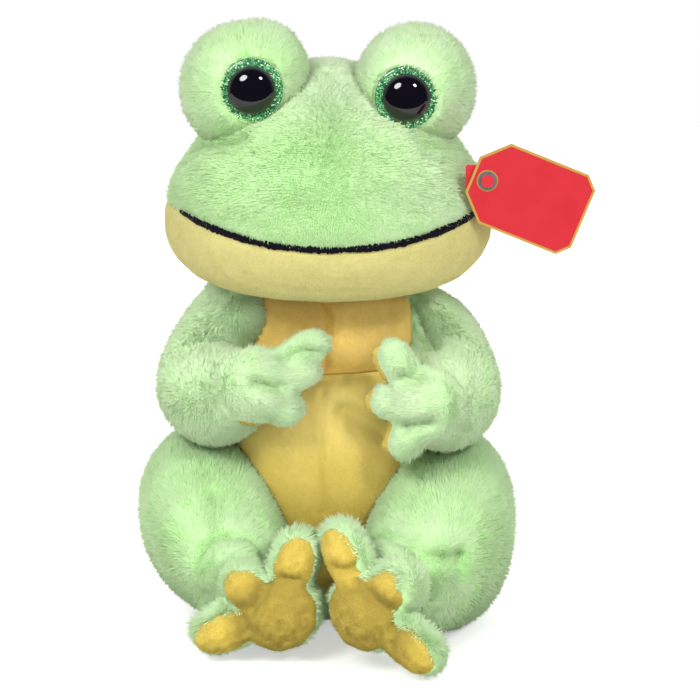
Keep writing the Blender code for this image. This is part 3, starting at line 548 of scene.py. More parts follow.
def frosting(middles, level, dapple, clump_tone, pressed):
    """How frosted each tuft is: in clouds, by clump, a little by chance, and less in folds, where
    this paints shade.
    """
    drift = []
    for middle in middles:
        spot = Vector(middle)
        drift.append(noise.noise(spot / CLOUD) + 0.5 * noise.noise(spot / FLECK))
    chance = rng.uniform(-0.06, 0.06, len(middles))
    frosted = level + dapple * np.array(drift) + 0.04 * clump_tone + chance - 0.3 * pressed
    frosted = np.clip(frosted, DEEPEST, PALEST)
    frosted[:2] = DEEPEST, PALEST  # so that the map of every skin has the same height
    return frosted


def raised(mesh, tall, tips):
    """Poke each face that has pile, and put its new middle at its tip.

    Returns the old face of each corner, whether the corner is a tip, and the face of each tip.
    """
    form = bmesh.new()
    form.from_mesh(mesh)
    form.faces.ensure_lookup_table()
    which = form.faces.layers.int.new("face")
    for i, face in enumerate(form.faces):
        face[which] = i
    root_count = len(form.verts)
    furry = [form.faces[i] for i in np.flatnonzero(tall > BALD)]
    bmesh.ops.poke(form, faces=furry, center_mode="MEAN")
    form.to_mesh(mesh)
    form.free()
    owner = read(mesh.attributes["face"].data, "value", 1, np.int32).ravel()
    mesh.attributes.remove(mesh.attributes["face"])
    corners = read(mesh.loops, "vertex_index", 1, np.int32).ravel()
    face_of_corner = np.repeat(owner, 3)
    is_tip = corners >= root_count
    places = points_of(mesh)
    tip_face = np.zeros(len(places), np.int64)
    tip_face[corners[is_tip]] = face_of_corner[is_tip]
    tip_face = tip_face[root_count:]
    places[root_count:] = tips[tip_face]
    places[:, 2] = np.maximum(places[:, 2], 0.0)  # the floor presses the pile under the toy flat
    mesh.vertices.foreach_set("co", places.ravel())
    return face_of_corner, is_tip, tip_face


def mapped(mesh, share, frosted, is_tip):
    """Lay the pile's map. Pile that a neighbour mats down shows less of its deep roots, while a tip
    that a neighbour cuts short takes a deeper colour, which paints shade into the crease.
    """
    side = np.tile([0.0, 0.5, 1.0], len(mesh.polygons))
    rise = np.tile([0.0, 1.0, 0.5], len(mesh.polygons))
    deep = np.clip(share, 0, 1)
    across = np.where(is_tip, 0.45 + 0.53 * deep, 0.02 + 0.60 * (1 - deep) + 0.03 * side)
    up = frosted + 0.02 * (rise - 0.5)
    layer = mesh.uv_layers.new(name=PILE_MAP)
    layer.data.foreach_set("uv", np.stack([across, up], 1).astype(np.float32).ravel())


def lit_softly(mesh, root_ways, face_ways, tuft_ways, soft):
    """Fibres are too fine to shade one by one, so a tuft is lit partly as its cloth is."""
    bare = normals_of(mesh)
    ways = np.concatenate([root_ways, unit(face_ways * soft + tuft_ways * (1 - soft))])
    ways = unit(ways * soft + bare * (1 - soft))
    mesh.normals_split_custom_set_from_vertices(ways.tolist())


# %% Lay the pile on a skin
FOLD_FLATTENS = 0.35


def lay_pile(thing, own, cloth, length, comb, cell, tone, lean=0.5, clumping=0.26, wisps=0.3,
             rough=0.28, soft=0.38, dapple=0.10):
    """Cover a skin with pile.

    length is in metres, cell is the width of a tuft, and tone goes from 0, shaded, to 1,
    frosted. comb gives the way that the pile lies, and lean how far. clumping draws the tips
    together, rough scatters them, soft evens their shading and dapple clouds their colour.
    """
    cell = cell * COARSE
    scattered(thing, cell)
    mesh = thing.data
    middles = read(mesh.polygons, "center")
    out = read(mesh.polygons, "normal")
    full = length(middles, out) if callable(length) else np.full(len(middles), length)
    pressed = lying_down(thing, middles)
    full = full * (1 - FOLD_FLATTENS * np.clip(pressed, 0, 1))
    tall = heights(thing, own, middles, out, full, wisps)
    share = (tall / np.maximum(full, 1e-9))[:, None]

    hearts, clump = clumps(middles, cell)
    pull = middles[hearts[clump]] - middles
    clump_tone = rng.uniform(-1, 1, len(hearts))[clump]
    clump_lean = rng.uniform(-0.16, 0.16, (len(hearts), 3))[clump]
    combed = comb(middles) + clump_lean
    combed = combed - out * np.sum(combed * out, axis=1, keepdims=True)
    combed = unit(combed) + rng.uniform(-rough, rough, combed.shape)
    tips = middles + out * tall[:, None] * math.sqrt(1 - lean * lean * 0.5)
    tips = tips + combed * (tall * lean)[:, None] + pull * clumping * np.minimum(share, 1)
    level = tone(middles) if callable(tone) else tone
    # The folds' press also paints shade into the pile's colour here.
    frosted = frosting(middles, level, dapple, clump_tone, pressed)

    root_ways = normals_of(mesh)
    face_of_corner, is_tip, tip_face = raised(mesh, tall, tips)
    mapped(mesh, share[face_of_corner, 0], frosted[face_of_corner], is_tip)
    mesh.materials.clear()
    mesh.materials.append(cloth)
    mesh.shade_smooth()
    mesh.update()
    tuft_ways = unit(tips[tip_face] - middles[tip_face])
    lit_softly(mesh, root_ways, out[tip_face], tuft_ways, soft)
    print(thing.name, "has", len(tip_face), "tufts and", len(mesh.polygons), "faces")


# %% Combs
def away_from(x, y, z, down=0.0):
    """A comb that runs outwards from a point in millimetres, with some of it down."""
    heart = np.array([x, y, z]) * MM

    def comb(middles):
        return unit(middles - heart) + np.array([0.0, 0.0, -down])
    return comb


def one_way(x, y, z):
    """A comb that runs the same way all over."""
    def comb(middles):
        return np.tile(unit(np.array([x, y, z], float)), (len(middles), 1))
    return comb


DOWN = one_way(0, 0, -1)
UP = one_way(0, 0, 1)

# %% [markdown]
# ## Head
# The crown and the muzzle are one green form. Its pile is combed from the brow down over the
# snout, and is shorter there. The eye mounds are sewn on top, and the jaw is the shaved cloth.
# The solid's facets would show on the broad brow, so it is ironed, but not near the mouth,
# the cheeks and the mounds, which have to keep their places.

# %% Shape of the head and the jaw
HEAD_FOLDS = [
    ([(196, 150), (215, 146), (238, 142)], (2.6, 0.9, 1.0)),  # under the left mound
    ([(425, 146), (445, 148), (462, 152)], (2.6, 0.7, 0.7)),  # under the right mound
]


def middle_line(node):
    """The middles of the rings that a CAD tube is made of, by their angle round the head."""
    places = points_of(node.data)
    angle = np.degrees(np.arctan2(places[:, 0], 0.005 - places[:, 1]))
    order = np.argsort(angle)
    breaks = np.flatnonzero(np.diff(angle[order]) > 1.0) + 1
    return np.array([places[ring].mean(axis=0) for ring in np.split(order, breaks)])


def free_to_iron(places):
    """How far each place of the head may be smoothed."""
    free = between(distance_to(places, smile), 4 * MM, 9 * MM)
    free = free * between(-np.abs(places[:, 0]), -30 * MM, -22 * MM)
    free = free * between(-places[:, 1], -20 * MM, -10 * MM)
    for side in ("left", "right"):
        away = away_from_node("eye_mound_" + side, places)
        free = free * (0.15 + 0.85 * between(away, 1 * MM, 6 * MM))
    return free


head_skin = stuffed_skin("head_skin", ["head_upper"], swell=0.9 * MM, rounds=24)
smile = middle_line(nodes["mouth_thread"])
ironed(head_skin, free_to_iron(points_of(head_skin.data)), rounds=110)
press(head_skin, HEAD_FOLDS)
jaw_skin = stuffed_skin("jaw_skin", ["head_jaw"], swell=0.8 * MM, rounds=24)
print("the smile has", len(smile), "rings")

# %% Pile of the head and the jaw
BROW = np.array([-0.004, -0.03, 0.129])
BROW_REACH = np.array([0.014, 0.03, 0.010])


def snout_length(middles, out):
    """Shorter pile on the snout, longer on the crown and the back, and flat under the head."""
    snout = between(-middles[:, 1], 0.010, 0.040)
    under = between(-out[:, 2], 0.3, 0.8)
    return (1.7 - 0.5 * snout) * (1 - 0.6 * under) * MM


def snout_tone(middles):
    """Fresh green on the brow. Paler on the crown, which is painted light in the shade between the
    mounds, and on the right of the muzzle, painted light on the side the key lamp leaves darker.
    """
    brow = np.exp(-np.sum(((middles - BROW) / BROW_REACH) ** 2, 1))
    top = between(middles[:, 2], 0.128, 0.140)
    right = between(middles[:, 0], 0.0, 0.028)
    left = between(-middles[:, 0], 0.010, 0.040)
    return 0.54 + 0.16 * right + 0.02 * left - 0.06 * brow + 0.34 * top


lay_pile(head_skin, ["head_upper"], GREEN_PILE, length=snout_length,
         comb=away_from(0, -4, 160, down=0.3), cell=0.48 * MM, tone=snout_tone,
         lean=0.7, clumping=0.14, dapple=0.07)
lay_pile(jaw_skin, ["head_jaw"], YELLOW_NAP, length=0.4 * MM, comb=DOWN, cell=0.50 * MM,
         tone=0.5, lean=0.6, clumping=0.05, soft=0.85, dapple=0.05)

# %% Eye mounds
MOUND_FOLDS = {
    "left": [([(268, 32), (280, 44), (289, 60)], (8.0, -3.2, 0.0))],  # its right side swells
    "right": [],
}


def round_the_eye(eye):
    """Pile that runs away from the eye, but closes over the rim of its disc."""
    outwards = away_from(eye.x, eye.y - 4, eye.z - 2)

    def comb(middles):
        from_eye = np.linalg.norm((middles - np.array(eye) * MM)[:, [0, 2]], axis=1)
        at_rim = (middles[:, 1] < 0) & (from_eye < 8.7 * MM)
        return outwards(middles) * np.where(at_rim, -0.7, 1.0)[:, None]
    return comb


mounds = {}
# The right mound's pile is paler: painted light on the side that the key lamp leaves darker.
for side, tone in (("left", 0.64), ("right", 0.72)):
    name = "eye_mound_" + side
    skin = stuffed_skin("mound_skin_" + side, [name], swell=0.3 * MM, rounds=40)
    press(skin, MOUND_FOLDS[side])
    eye_low, eye_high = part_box("eye_disc_" + side)
    eye = (eye_low + eye_high) / 2 / MM
    lay_pile(skin, [name], GREEN_PILE, length=1.7 * MM, comb=round_the_eye(eye), cell=0.48 * MM,
             tone=tone, lean=0.55, clumping=0.36, dapple=0.15, soft=0.3)
    mounds[side] = skin

# %% [markdown]
# ## Body
# The back and the sides are green. The front is two shaved panels that meet in the waist
# crease, and the chest has a seam down its middle. Each panel is ironed where it looks
# forward, which leaves its edges at the seams.

# %% Back
back_skin = stuffed_skin("back_skin", ["body_back"], swell=0.6 * MM, rounds=60)
lay_pile(back_skin, ["body_back"], GREEN_PILE, length=1.9 * MM, comb=DOWN, cell=0.60 * MM,
         tone=0.55)

# %% Chest
CHEST_FOLDS = [
    ([(325, 303), (329, 316), (329, 332), (326, 348), (324, 366)], (1.0, 1.2, 1.5)),  # seam
    ([(318, 370), (350, 371), (384, 369)], (2.6, 1.1, 0.7)),  # waist
    ([(401, 305), (402, 322), (403, 340)], (3.0, -2.0, 0.0)),  # swells by the right arm
]


def the_front(thing):
    """How far each vertex looks forward."""
    return between(-normals_of(thing.data)[:, 1], 0.3, 0.7)


def chest_tone(middles):
    """Deepest left of the seam and paler at the right: painted shade on the left of the chest."""
    return 0.72 + 0.08 * between(middles[:, 0], -0.004, 0.012)


chest_skin = stuffed_skin("chest_skin", ["chest_panel"], swell=0.6 * MM, rounds=8)
ironed(chest_skin, the_front(chest_skin), rounds=50)
press(chest_skin, CHEST_FOLDS)
lay_pile(chest_skin, ["chest_panel"], CHEST_AMBER_PAINTED_LIGHT, length=0.45 * MM, comb=DOWN,
         cell=0.42 * MM, tone=chest_tone, clumping=0.05, soft=0.8, dapple=0.04)

# %% Belly
BELLY_FOLDS = [
    ([(318, 379), (350, 380), (384, 378)], (2.6, 1.1, 0.7)),  # waist
    ([(332, 398), (355, 396), (372, 400)], (6.0, -1.3, 0.0)),  # swells under the waist
    ([(346, 412), (362, 421), (386, 432)], (3.2, 2.6, 0.8)),  # fold under the right hand
    ([(323, 392), (322, 430), (323, 470), (324, 510)], (0.9, 0.5, 0.35)),  # seam
]


def belly_tone(middles):
    """Painted light where the belly faces up, and painted shade low down between the thighs."""
    low = between(middles[:, 2], 0.008, 0.040)
    high = between(middles[:, 2], 0.045, 0.056)
    return 0.04 + 0.60 * low + 0.34 * high


belly_skin = stuffed_skin("belly_skin", ["belly_panel"], swell=0.6 * MM, rounds=8)
ironed(belly_skin, the_front(belly_skin), rounds=60)
press(belly_skin, BELLY_FOLDS)
lay_pile(belly_skin, ["belly_panel"], AMBER_NAP, length=0.5 * MM, comb=DOWN, cell=0.44 * MM,
         tone=belly_tone, clumping=0.08, soft=0.8, dapple=0.04)

# %% [markdown]
# ## Limbs
# An arm and its hand are one green form, and so are a leg and the upper of its foot. The
# yellow palms and soles are sewn to them. Folds and the gaps between fingers are pressed in
# where the photograph shows them. Fingers and toes have the palest pile.

# %% Folds of the arms
ARM_CREASE = (1.8, 3.0, 1.2)
WRIST_SWELL = (4.5, -1.3, 0.0)
ARM_FOLDS = {
    "left": [
        ([(219, 352), (213, 382), (220, 418)], WRIST_SWELL),
        ([(217, 297), (240, 305), (271, 318)], ARM_CREASE),  # in the upper arm
        ([(317, 356), (301, 351), (284, 356)], ARM_CREASE),  # under the first finger
        ([(297, 397), (278, 389), (256, 384)], ARM_CREASE),  # over the last finger
        ([(243, 296), (246, 308), (245, 320)], (6.5, -7.5, 0.0)),  # the shoulder swells
        ([(260, 398), (272, 404), (284, 412)], (3.5, -1.5, 0.0)),  # the last finger swells
    ],
    "right": [
        ([(452, 352), (466, 385), (462, 425)], WRIST_SWELL),
        ([(413, 300), (424, 330), (436, 352)], ARM_CREASE),
        ([(388, 384), (404, 378), (418, 378)], ARM_CREASE),
        ([(381, 430), (405, 427), (431, 424)], ARM_CREASE),
    ],
}
print("folds of the arms:", {side: len(folds) for side, folds in ARM_FOLDS.items()})

# %% Folds of the legs and the soles
LEG_CREASE = (2.4, 2.0, 0.9)
TOE_SWELL = (3.0, -2.6, 0.0)
PAD_CREASE = (1.5, 1.6, 0.9)
LEG_FOLDS = {
    "left": [
        ([(214, 498), (216, 540)], LEG_CREASE),  # down the thigh
        ([(203, 566), (209, 549), (226, 541), (243, 542), (256, 552)], LEG_CREASE),  # round the foot
        ([(209, 572), (222, 558), (246, 554)], TOE_SWELL),
        ([(291, 531), (308, 531)], TOE_SWELL),
        ([(196, 612), (214, 606), (232, 604)], TOE_SWELL),
    ],
    "right": [
        ([(428, 556), (457, 561)], LEG_CREASE),
        ([(458, 556), (461, 575)], LEG_CREASE),
        ([(368, 549), (385, 540), (408, 545), (420, 563), (425, 592)], LEG_CREASE),
        ([(378, 555), (398, 563), (410, 585), (415, 605)], TOE_SWELL),
        ([(338, 522), (352, 528)], TOE_SWELL),
    ],
}
SOLE_FOLDS = {
    "left": [
        ([(280, 579), (297, 582), (314, 576)], PAD_CREASE),  # under the inner toe pad
        ([(269, 580), (262, 596), (251, 610)], PAD_CREASE),  # beside the middle one
        ([(241, 619), (247, 632), (252, 646)], PAD_CREASE),  # beside the outer one
    ],
    "right": [
        ([(333, 569), (345, 572), (358, 566)], PAD_CREASE),
        ([(358, 581), (372, 598), (389, 612)], PAD_CREASE),
        ([(398, 617), (394, 630), (390, 646)], PAD_CREASE),
    ],
}
print("folds of the legs:", {side: len(folds) for side, folds in LEG_FOLDS.items()})

# %% Pile of the arms
PALM_SHOWS = {"left": (-0.3, 0.0, -1.0), "right": (-1.0, 0.0, -0.2)}


def arm_tone(middles):
    """Paler towards the fingers."""
    return 0.73 + 0.03 * between(-middles[:, 1], 0.010, 0.040)


def arm_length(side):
    """A little shorter on the hand and under the head, very short where the palm shows."""
    shows = unit(np.array(PALM_SHOWS[side]))

    def length(middles, out):
        away = away_from_node("palm_" + side, middles)
        edge = (1 - between(away, 2.5 * MM, 4.5 * MM)) * between(out @ shows, 0.2, 0.6)
        under_head = between(out[:, 2], 0.5, 0.9) * between(middles[:, 2], 0.078, 0.084)
        hand = between(-middles[:, 1], 0.015, 0.035)
        return (1.9 - 0.2 * hand) * (1 - 0.75 * edge) * (1 - 0.6 * under_head) * MM
    return length


def arm_comb(sign):
    """Down the upper arm, and along the forearm to the hand."""
    down_arm = np.array([0.35 * sign, -0.25, -1.0])
    to_hand = np.array([-1.0 * sign, -0.35, 0.15])

    def comb(middles):
        fore = between(-middles[:, 1], 0.006, 0.024)[:, None]
        return (1 - fore) * down_arm + fore * to_hand
    return comb


# %% Pile of the legs and the soles
SOLE_MIDDLE = {
    "left": np.array([-0.0125, -0.055, 0.0125]),
    "right": np.array([0.0095, -0.060, 0.0125]),
}


def leg_length(side):
    """Next to none beside and under the rim of the sole, and the longest on the toes."""
    def length(middles, out):
        away = away_from_node("sole_" + side, middles)
        rim = (1 - between(away, 2.0 * MM, 4.0 * MM)) * between(-out[:, 2], 0.0, 0.35)
        top = (1 - between(away, 6.0 * MM, 9.0 * MM)) * between(out[:, 2], 0.1, 0.6)
        return (1.9 * (1 - 0.9 * rim) + 0.9 * top) * MM
    return length


def leg_tone(middles):
    """Painted shade low on the thigh, and palest on the feet."""
    foot = between(-middles[:, 1], 0.036, 0.044)
    low = between(-middles[:, 2], -0.034, -0.014)
    return 0.54 - 0.44 * (1 - foot) * low + 0.16 * foot


def sole_tone(side):
    """The ball and the heel are the deepest yellow, and the toe pads are paler."""
    def tone(middles):
        away = np.linalg.norm((middles - SOLE_MIDDLE[side])[:, [0, 2]], axis=1)
        return 0.04 + 0.44 * between(away, 0.0100, 0.0135)
    return tone


# %% Arms, hands, legs and feet
limbs = {}
for side, sign in (("left", -1), ("right", 1)):
    arm_nodes = ["arm_" + side, "hand_" + side]
    arm = stuffed_skin("arm_skin_" + side, arm_nodes, swell=0.5 * MM, rounds=16, voxel=0.8 * MM)
    press(arm, ARM_FOLDS[side])
    lay_pile(arm, arm_nodes, GREEN_PILE, length=arm_length(side), comb=arm_comb(sign),
             cell=0.48 * MM, tone=arm_tone, lean=0.6, clumping=0.2, wisps=0.4)
    palm_nodes = ["palm_" + side]
    palm = stuffed_skin("palm_skin_" + side, palm_nodes, swell=0.5 * MM, rounds=4,
                        voxel=0.7 * MM)
    let_out(palm, PALM_SHOWS[side], 1.9 * MM)
    lay_pile(palm, palm_nodes, AMBER_NAP, length=0.9 * MM, comb=one_way(-sign, 0, 0),
             cell=0.46 * MM, tone=0.62)
    leg_nodes = ["leg_" + side, "foot_" + side]
    leg = stuffed_skin("leg_skin_" + side, leg_nodes, swell=0.5 * MM, rounds=8, voxel=0.8 * MM)
    ironed(leg, between(points_of(leg.data)[:, 1], -0.038, -0.027), rounds=70)
    press(leg, LEG_FOLDS[side])
    lay_pile(leg, leg_nodes, GREEN_PILE, length=leg_length(side),
             comb=away_from(sign * 34, -44, 22), cell=0.50 * MM, tone=leg_tone)
    sole_nodes = ["sole_" + side]
    sole = stuffed_skin("sole_skin_" + side, sole_nodes, swell=1.2 * MM, rounds=9,
                        voxel=0.6 * MM)
    press(sole, SOLE_FOLDS[side])
    lay_pile(sole, sole_nodes, AMBER_NAP, length=0.6 * MM, comb=UP, cell=0.38 * MM,
             tone=sole_tone(side), soft=0.7)
    limbs[side] = (arm, palm, leg, sole)

# %% [markdown]
# ## Eyes
# An eye of this kind is one black dome of hard plastic on a shank, pushed through a disc with
# glitter under its clear face. A dome is a turned form, so its outline is spun about its axis.

# %% Hard plastic, plated steel and glitter
def hard_material(name, colour, roughness, metallic=0.0, ior=1.5, dapple=0.0):
    """Moulded or plated: its gloss varies in clouds of 2.5 mm, which moving light picks out."""
    material, tree, stuff = new_material(name, Metallic=metallic, IOR=ior)
    cloud = texture(tree, "TexNoise", in_Scale=400.0, in_Detail=3.0)
    gloss = add(tree, "MapRange", {"Value": cloud},
                in_3=roughness * 0.8, in_4=roughness * 1.2)
    tree.links.new(gloss.outputs[0], stuff.inputs["Roughness"])
    deeper = [c * (1 - dapple) for c in linear(colour)[:3]] + [1.0]
    tint = add(tree, "Mix", {"Factor": cloud}, data_type="RGBA",
               in_6=deeper, in_7=linear(colour))
    tree.links.new(tint.outputs[2], stuff.inputs["Base Color"])
    return material


def glitter_material():
    """Green glitter under clear plastic: flakes of about 0.3 mm, each its own green and gloss; the
    palest flakes are painted glints.
    """
    material, tree, stuff = new_material("glitter_under_clear_plastic",
                                         Coat_Weight=0.8, Coat_Roughness=0.08)
    flakes = texture(tree, "TexVoronoi", in_Scale=3600.0)
    chance = add(tree, "SeparateColor", {0: flakes.outputs["Color"]})
    ramp = add(tree, "ValToRGB", {0: chance})
    ramp.color_ramp.elements[0].color = linear("#123A2B")
    ramp.color_ramp.elements[1].color = linear("#E9FFE4")
    ramp.color_ramp.elements[1].position = 0.98
    greens = ((0.35, "#1F5A3C"), (0.62, "#3B8C56"), (0.82, "#63B96F"), (0.93, "#9BE38F"))
    for place, colour in greens:
        ramp.color_ramp.elements.new(place).color = linear(colour)
    tree.links.new(ramp.outputs[0], stuff.inputs["Base Color"])
    shiny = add(tree, "MapRange", {"Value": chance.outputs[1]}, in_3=0.15, in_4=0.45)
    tree.links.new(shiny.outputs[0], stuff.inputs["Roughness"])
    return material


BLACK_PLASTIC = hard_material("polished_black_polycarbonate", "#04020B", 0.045, ior=1.58)
GLITTER = glitter_material()
RED_PLASTIC = hard_material("moulded_red_polypropylene", "#CC2130", 0.35, ior=1.49, dapple=0.12)
PLATED_STEEL = hard_material("nickel_plated_steel", "#D2D4D6", 0.38, metallic=1.0, dapple=0.1)
print("four hard materials, the first is", BLACK_PLASTIC.name)

# %% Discs and domes
# Outlines in millimetres: the radius, and the height along the axis from the disc's middle.
DISC = [(1.9, -0.45), (7.7, -0.45), (8.0, -0.2), (8.0, 0.2), (7.6, 0.45), (6.4, 0.62),
        (1.9, 0.62), (1.9, -0.45)]
DOME_RADIUS = 6.1
DOME_RISE = 3.0
DOME_FOOT = 1.35
DOME_STEPS = 24
DOME_UNDER = [(6.1, 0.85), (6.0, 0.75), (1.6, 0.75), (1.6, -7.95), (0.0, -7.95)]
TURN_STEPS = 72


def turned(name, outline, place, axis, material):
    """A closed turned form about an axis."""
    axis = Vector(axis).normalized()
    across = axis.orthogonal().normalized()
    form = bmesh.new()
    corners = []
    for radius, rise in outline:
        spot = Vector(place) + across * (radius * MM) + axis * (rise * MM)
        corners.append(form.verts.new(spot))
    edges = [form.edges.new(pair) for pair in zip(corners[:-1], corners[1:])]
    bmesh.ops.spin(form, geom=corners + edges, cent=place, axis=axis, angle=2 * math.pi,
                   steps=TURN_STEPS, use_merge=True)
    bmesh.ops.remove_doubles(form, verts=form.verts, dist=0.002 * MM)
    bmesh.ops.recalc_face_normals(form, faces=form.faces)
    thing = shown(name, form)
    thing.data.materials.append(material)
    thing.data.shade_smooth()
    return thing


def facing(node):
    """The way the largest face of a CAD node looks."""
    return max(node.data.polygons, key=lambda face: face.area).normal.copy()


dome = []
for step in range(DOME_STEPS + 1):
    turn = math.pi / 2 * step / DOME_STEPS
    dome.append((DOME_RADIUS * math.sin(turn), DOME_FOOT + DOME_RISE * math.cos(turn)))
eyes = {}
for side in ("left", "right"):
    low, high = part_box("eye_disc_" + side)
    place = (low + high) / 2
    axis = facing(nodes["eye_disc_" + side])
    if axis.y > 0:
        axis = -axis
    disc = turned("glitter_disc_" + side, DISC, place, axis, GLITTER)
    pupil = turned("pupil_dome_" + side, dome + DOME_UNDER, place, axis, BLACK_PLASTIC)
    nodes["eye_washer_" + side].material_slots[0].material = PLATED_STEEL
    eyes[side] = (disc, pupil)
    print("the", side, "eye looks along", tuple(round(c, 2) for c in axis))

# %% [markdown]
# ## Pellet bag
# A bag of plastic pellets in the seat lets the toy sit. The solid has its shape already, so
# it only needs its cotton.

# %% Woven cotton
def cotton_material():
    """Plain woven cotton: matt, with threads of 0.3 mm over and under each other."""
    material, tree, cloth = new_material("plain_woven_cotton", Roughness=0.9)
    threads = []
    for direction in ("X", "Z"):
        wave = texture(tree, "TexWave", bands_direction=direction,
                       in_Scale=480.0, in_Distortion=0.4)
        threads.append(wave.outputs["Fac"])
    weave = add(tree, "Math", {0: threads[0], 1: threads[1]}, operation="MULTIPLY")
    tint = add(tree, "Mix", {"Factor": weave}, data_type="RGBA",
               in_6=linear("#D9D4C6"), in_7=linear("#EFEBDF"))
    bump = add(tree, "Bump", {"Height": weave},
               in_Strength=0.3, in_Distance=0.1 * MM)
    tree.links.new(tint.outputs[2], cloth.inputs["Base Color"])
    tree.links.new(bump.outputs[0], cloth.inputs["Normal"])
    return material


COTTON = cotton_material()
nodes["pellet_bag"].material_slots[0].material = COTTON
print("the pellet bag is of", COTTON.name)

# %% [markdown]
# ## Mouth
# The smile is satin stitch: short threads laid side by side over the seam, from corner to
# corner. Each stitch is a small rounded bar. A few lie high, low or long, which gives the
# ragged edge of the real thing, and a fine remesh draws them together into one strand.

# %% Black thread
def thread_material():
    """Black rayon thread: matt, with fibres of 0.2 mm that break its gloss."""
    material, tree, stuff = new_material("black_rayon_thread", Roughness=0.6,
                                         Specular_IOR_Level=0.1)
    fibres = texture(tree, "TexNoise", in_Scale=5000.0, in_Detail=2.0)
    ramp = add(tree, "ValToRGB", {0: fibres})
    ramp.color_ramp.elements[0].color = linear("#040208")
    ramp.color_ramp.elements[1].color = linear("#100B1E")
    ramp.color_ramp.elements[0].position = 0.35
    ramp.color_ramp.elements[1].position = 0.8
    bump = add(tree, "Bump", {"Height": fibres},
               in_Strength=0.4, in_Distance=0.05 * MM)
    tree.links.new(ramp.outputs[0], stuff.inputs["Base Color"])
    tree.links.new(bump.outputs[0], stuff.inputs["Normal"])
    return material


# %% Satin stitches
STITCH_PITCH = 0.30 * MM
STITCH_HALF_WIDTH = 0.30 * MM
STITCH_HALF_DEPTH = 0.42 * MM
LOOK_AHEAD = 0.5 * MM
SWAY = 7 * MM
TAPER = 6 * MM
FACE_AXIS_Y = -8 * MM
STRAND_VOXEL = 0.13 * MM
runs = np.concatenate([[0], np.cumsum(np.linalg.norm(np.diff(smile, axis=0), axis=1))])


def on_smile(at):
    """The point of the smile that is this far from its left corner."""
    return Vector([np.interp(at, runs, smile[:, k]) for k in range(3)])


form = bmesh.new()
for i in range(int(runs[-1] / STITCH_PITCH)):
    at = i * STITCH_PITCH
    spot = on_smile(at)
    run = (on_smile(at + LOOK_AHEAD) - spot).normalized()
    outward = Vector((spot.x, spot.y - FACE_AXIS_Y, 0)).normalized()
    up = outward.cross(run).normalized()
    wave = 0.5 + noise.noise(spot / SWAY)
    ends = min(at, runs[-1] - at) / TAPER
    tall = (0.46 + 0.52 * wave * min(ends, 1.0) + rng.uniform(-0.06, 0.26)) * MM
    turn = Matrix((run, outward, up)).transposed().to_4x4()
    spot = spot + up * rng.uniform(-0.15, 0.15) * MM + outward * rng.uniform(0.1, 0.3) * MM
    shape = Matrix.Diagonal((STITCH_HALF_WIDTH, STITCH_HALF_DEPTH, tall, 1))
    bmesh.ops.create_uvsphere(form, u_segments=8, v_segments=6, radius=1.0,
                              matrix=Matrix.Translation(spot) @ turn @ shape)
mouth = shown("mouth_stitches", form)
fused(mouth, STRAND_VOXEL)
smoothed(mouth, 0.4, 2)
settle(mouth)
mouth.data.materials.append(thread_material())
mouth.data.shade_smooth()
print("the mouth is", round(runs[-1] / MM), "mm of stitches, with", len(mouth.data.polygons), "faces")

# %% [markdown]
# ## Blank swing tag
# The tag is a plain card of coated board with a foil edge and no print. A small metal eyelet
# keeps its hole from tearing, and a red plastic fastener holds it at the cheek.

# %% Coated board
def card_material():
    """Coated board: red gloss with a gold foil edge, told apart by the card's own attribute."""
    material, tree, stuff = new_material("coated_board_red")
    foil = add(tree, "Attribute", attribute_name="foil")
    # The coat lies in faint clouds of about 4 mm.
    cloud = texture(tree, "TexNoise", in_Scale=260.0, in_Detail=4.0)
    red = add(tree, "Mix", {"Factor": cloud}, data_type="RGBA",
              in_6=linear("#B81623"), in_7=linear("#C41E2C"))
    both = add(tree, "Mix", {"Factor": foil.outputs["Fac"], 6: red.outputs[2]},
               data_type="RGBA", in_7=linear("#C79F4A"))
    tree.links.new(both.outputs[2], stuff.inputs["Base Color"])
    shine = add(tree, "Math", {0: foil.outputs["Fac"]}, operation="MULTIPLY", in_1=0.3)
    tree.links.new(shine.outputs[0], stuff.inputs["Metallic"])
    gloss = add(tree, "MapRange", {"Value": cloud}, in_3=0.28, in_4=0.38)
    tree.links.new(gloss.outputs[0], stuff.inputs["Roughness"])
    return material


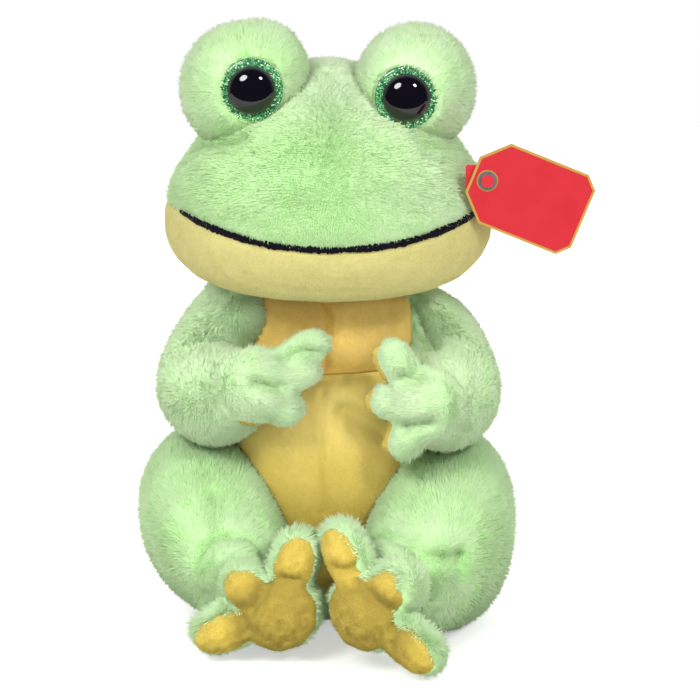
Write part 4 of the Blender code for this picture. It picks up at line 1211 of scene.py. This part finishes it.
# %% Card, eyelet and fastener
FOIL_WIDTH = 0.6 * MM
form = bmesh.new()
form.from_mesh(nodes["tag_card"].data)
bmesh.ops.remove_doubles(form, verts=form.verts, dist=MERGE)
foil = form.faces.layers.float.new("foil")
way = facing(nodes["tag_card"])
sides = [face for face in form.faces if abs(face.normal.dot(way)) < 0.5]
flats = [face for face in form.faces if abs(face.normal.dot(way)) >= 0.5]
rim = bmesh.ops.inset_region(form, faces=flats, thickness=FOIL_WIDTH, use_even_offset=True,
                             use_boundary=True)
for face in sides + rim["faces"]:
    face[foil] = 1.0
card = shown("blank_tag", form)
card.data.materials.append(card_material())
nodes["tag_fastener"].material_slots[0].material = RED_PLASTIC
nodes["tag_eyelet"].material_slots[0].material = PLATED_STEEL
print("the tag has", len(card.data.polygons), "faces")

# %% [markdown]
# ## What rides on what
# Each skin stands for its CAD nodes, and all but the arm and leg skins move with their body.
# The arms and legs are sewn to the body.

# %% Bodies and slots
SOFT_SEATS = [
    (head_skin, ["head_upper"], "head", "pile_green"),
    (jaw_skin, ["head_jaw"], "head", "pile_yellow"),
    (back_skin, ["body_back"], "body", "pile_green"),
    (chest_skin, ["chest_panel"], "body", "pile_amber"),
    (belly_skin, ["belly_panel"], "body", "pile_amber"),
]
HARD_SEATS = [
    (mouth, "mouth_thread", "head", "thread_black"),
    (card, "tag_card", "tag", "card_red"),
]
for side in ("left", "right"):
    arm, palm, leg, sole = limbs[side]
    disc, pupil = eyes[side]
    SOFT_SEATS += [
        (mounds[side], ["eye_mound_" + side], "head", "pile_green"),
        (palm, ["palm_" + side], "arm_" + side, "pile_yellow"),
        (sole, ["sole_" + side], "leg_" + side, "pile_yellow"),
    ]
    HARD_SEATS += [
        (disc, "eye_disc_" + side, "head", "glitter_green"),
        (pupil, "eye_pupil_" + side, "head", "plastic_black"),
    ]
for skin, stands_for, body, slot in SOFT_SEATS:
    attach(skin, body)
    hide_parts(*stands_for)
for piece, node, body, slot in HARD_SEATS:
    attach(piece, body)
    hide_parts(node)
print(len(SOFT_SEATS), "skins and", len(HARD_SEATS), "hard pieces ride on one body")

# %% Limb skins in place of their nodes
for side, sign in (("left", -1), ("right", 1)):
    arm, palm, leg, sole = limbs[side]
    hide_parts("arm_" + side, "hand_" + side)
    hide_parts("leg_" + side, "foot_" + side)
    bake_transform(arm)
    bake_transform(leg)
print(2 * len(limbs), "limbs bend")
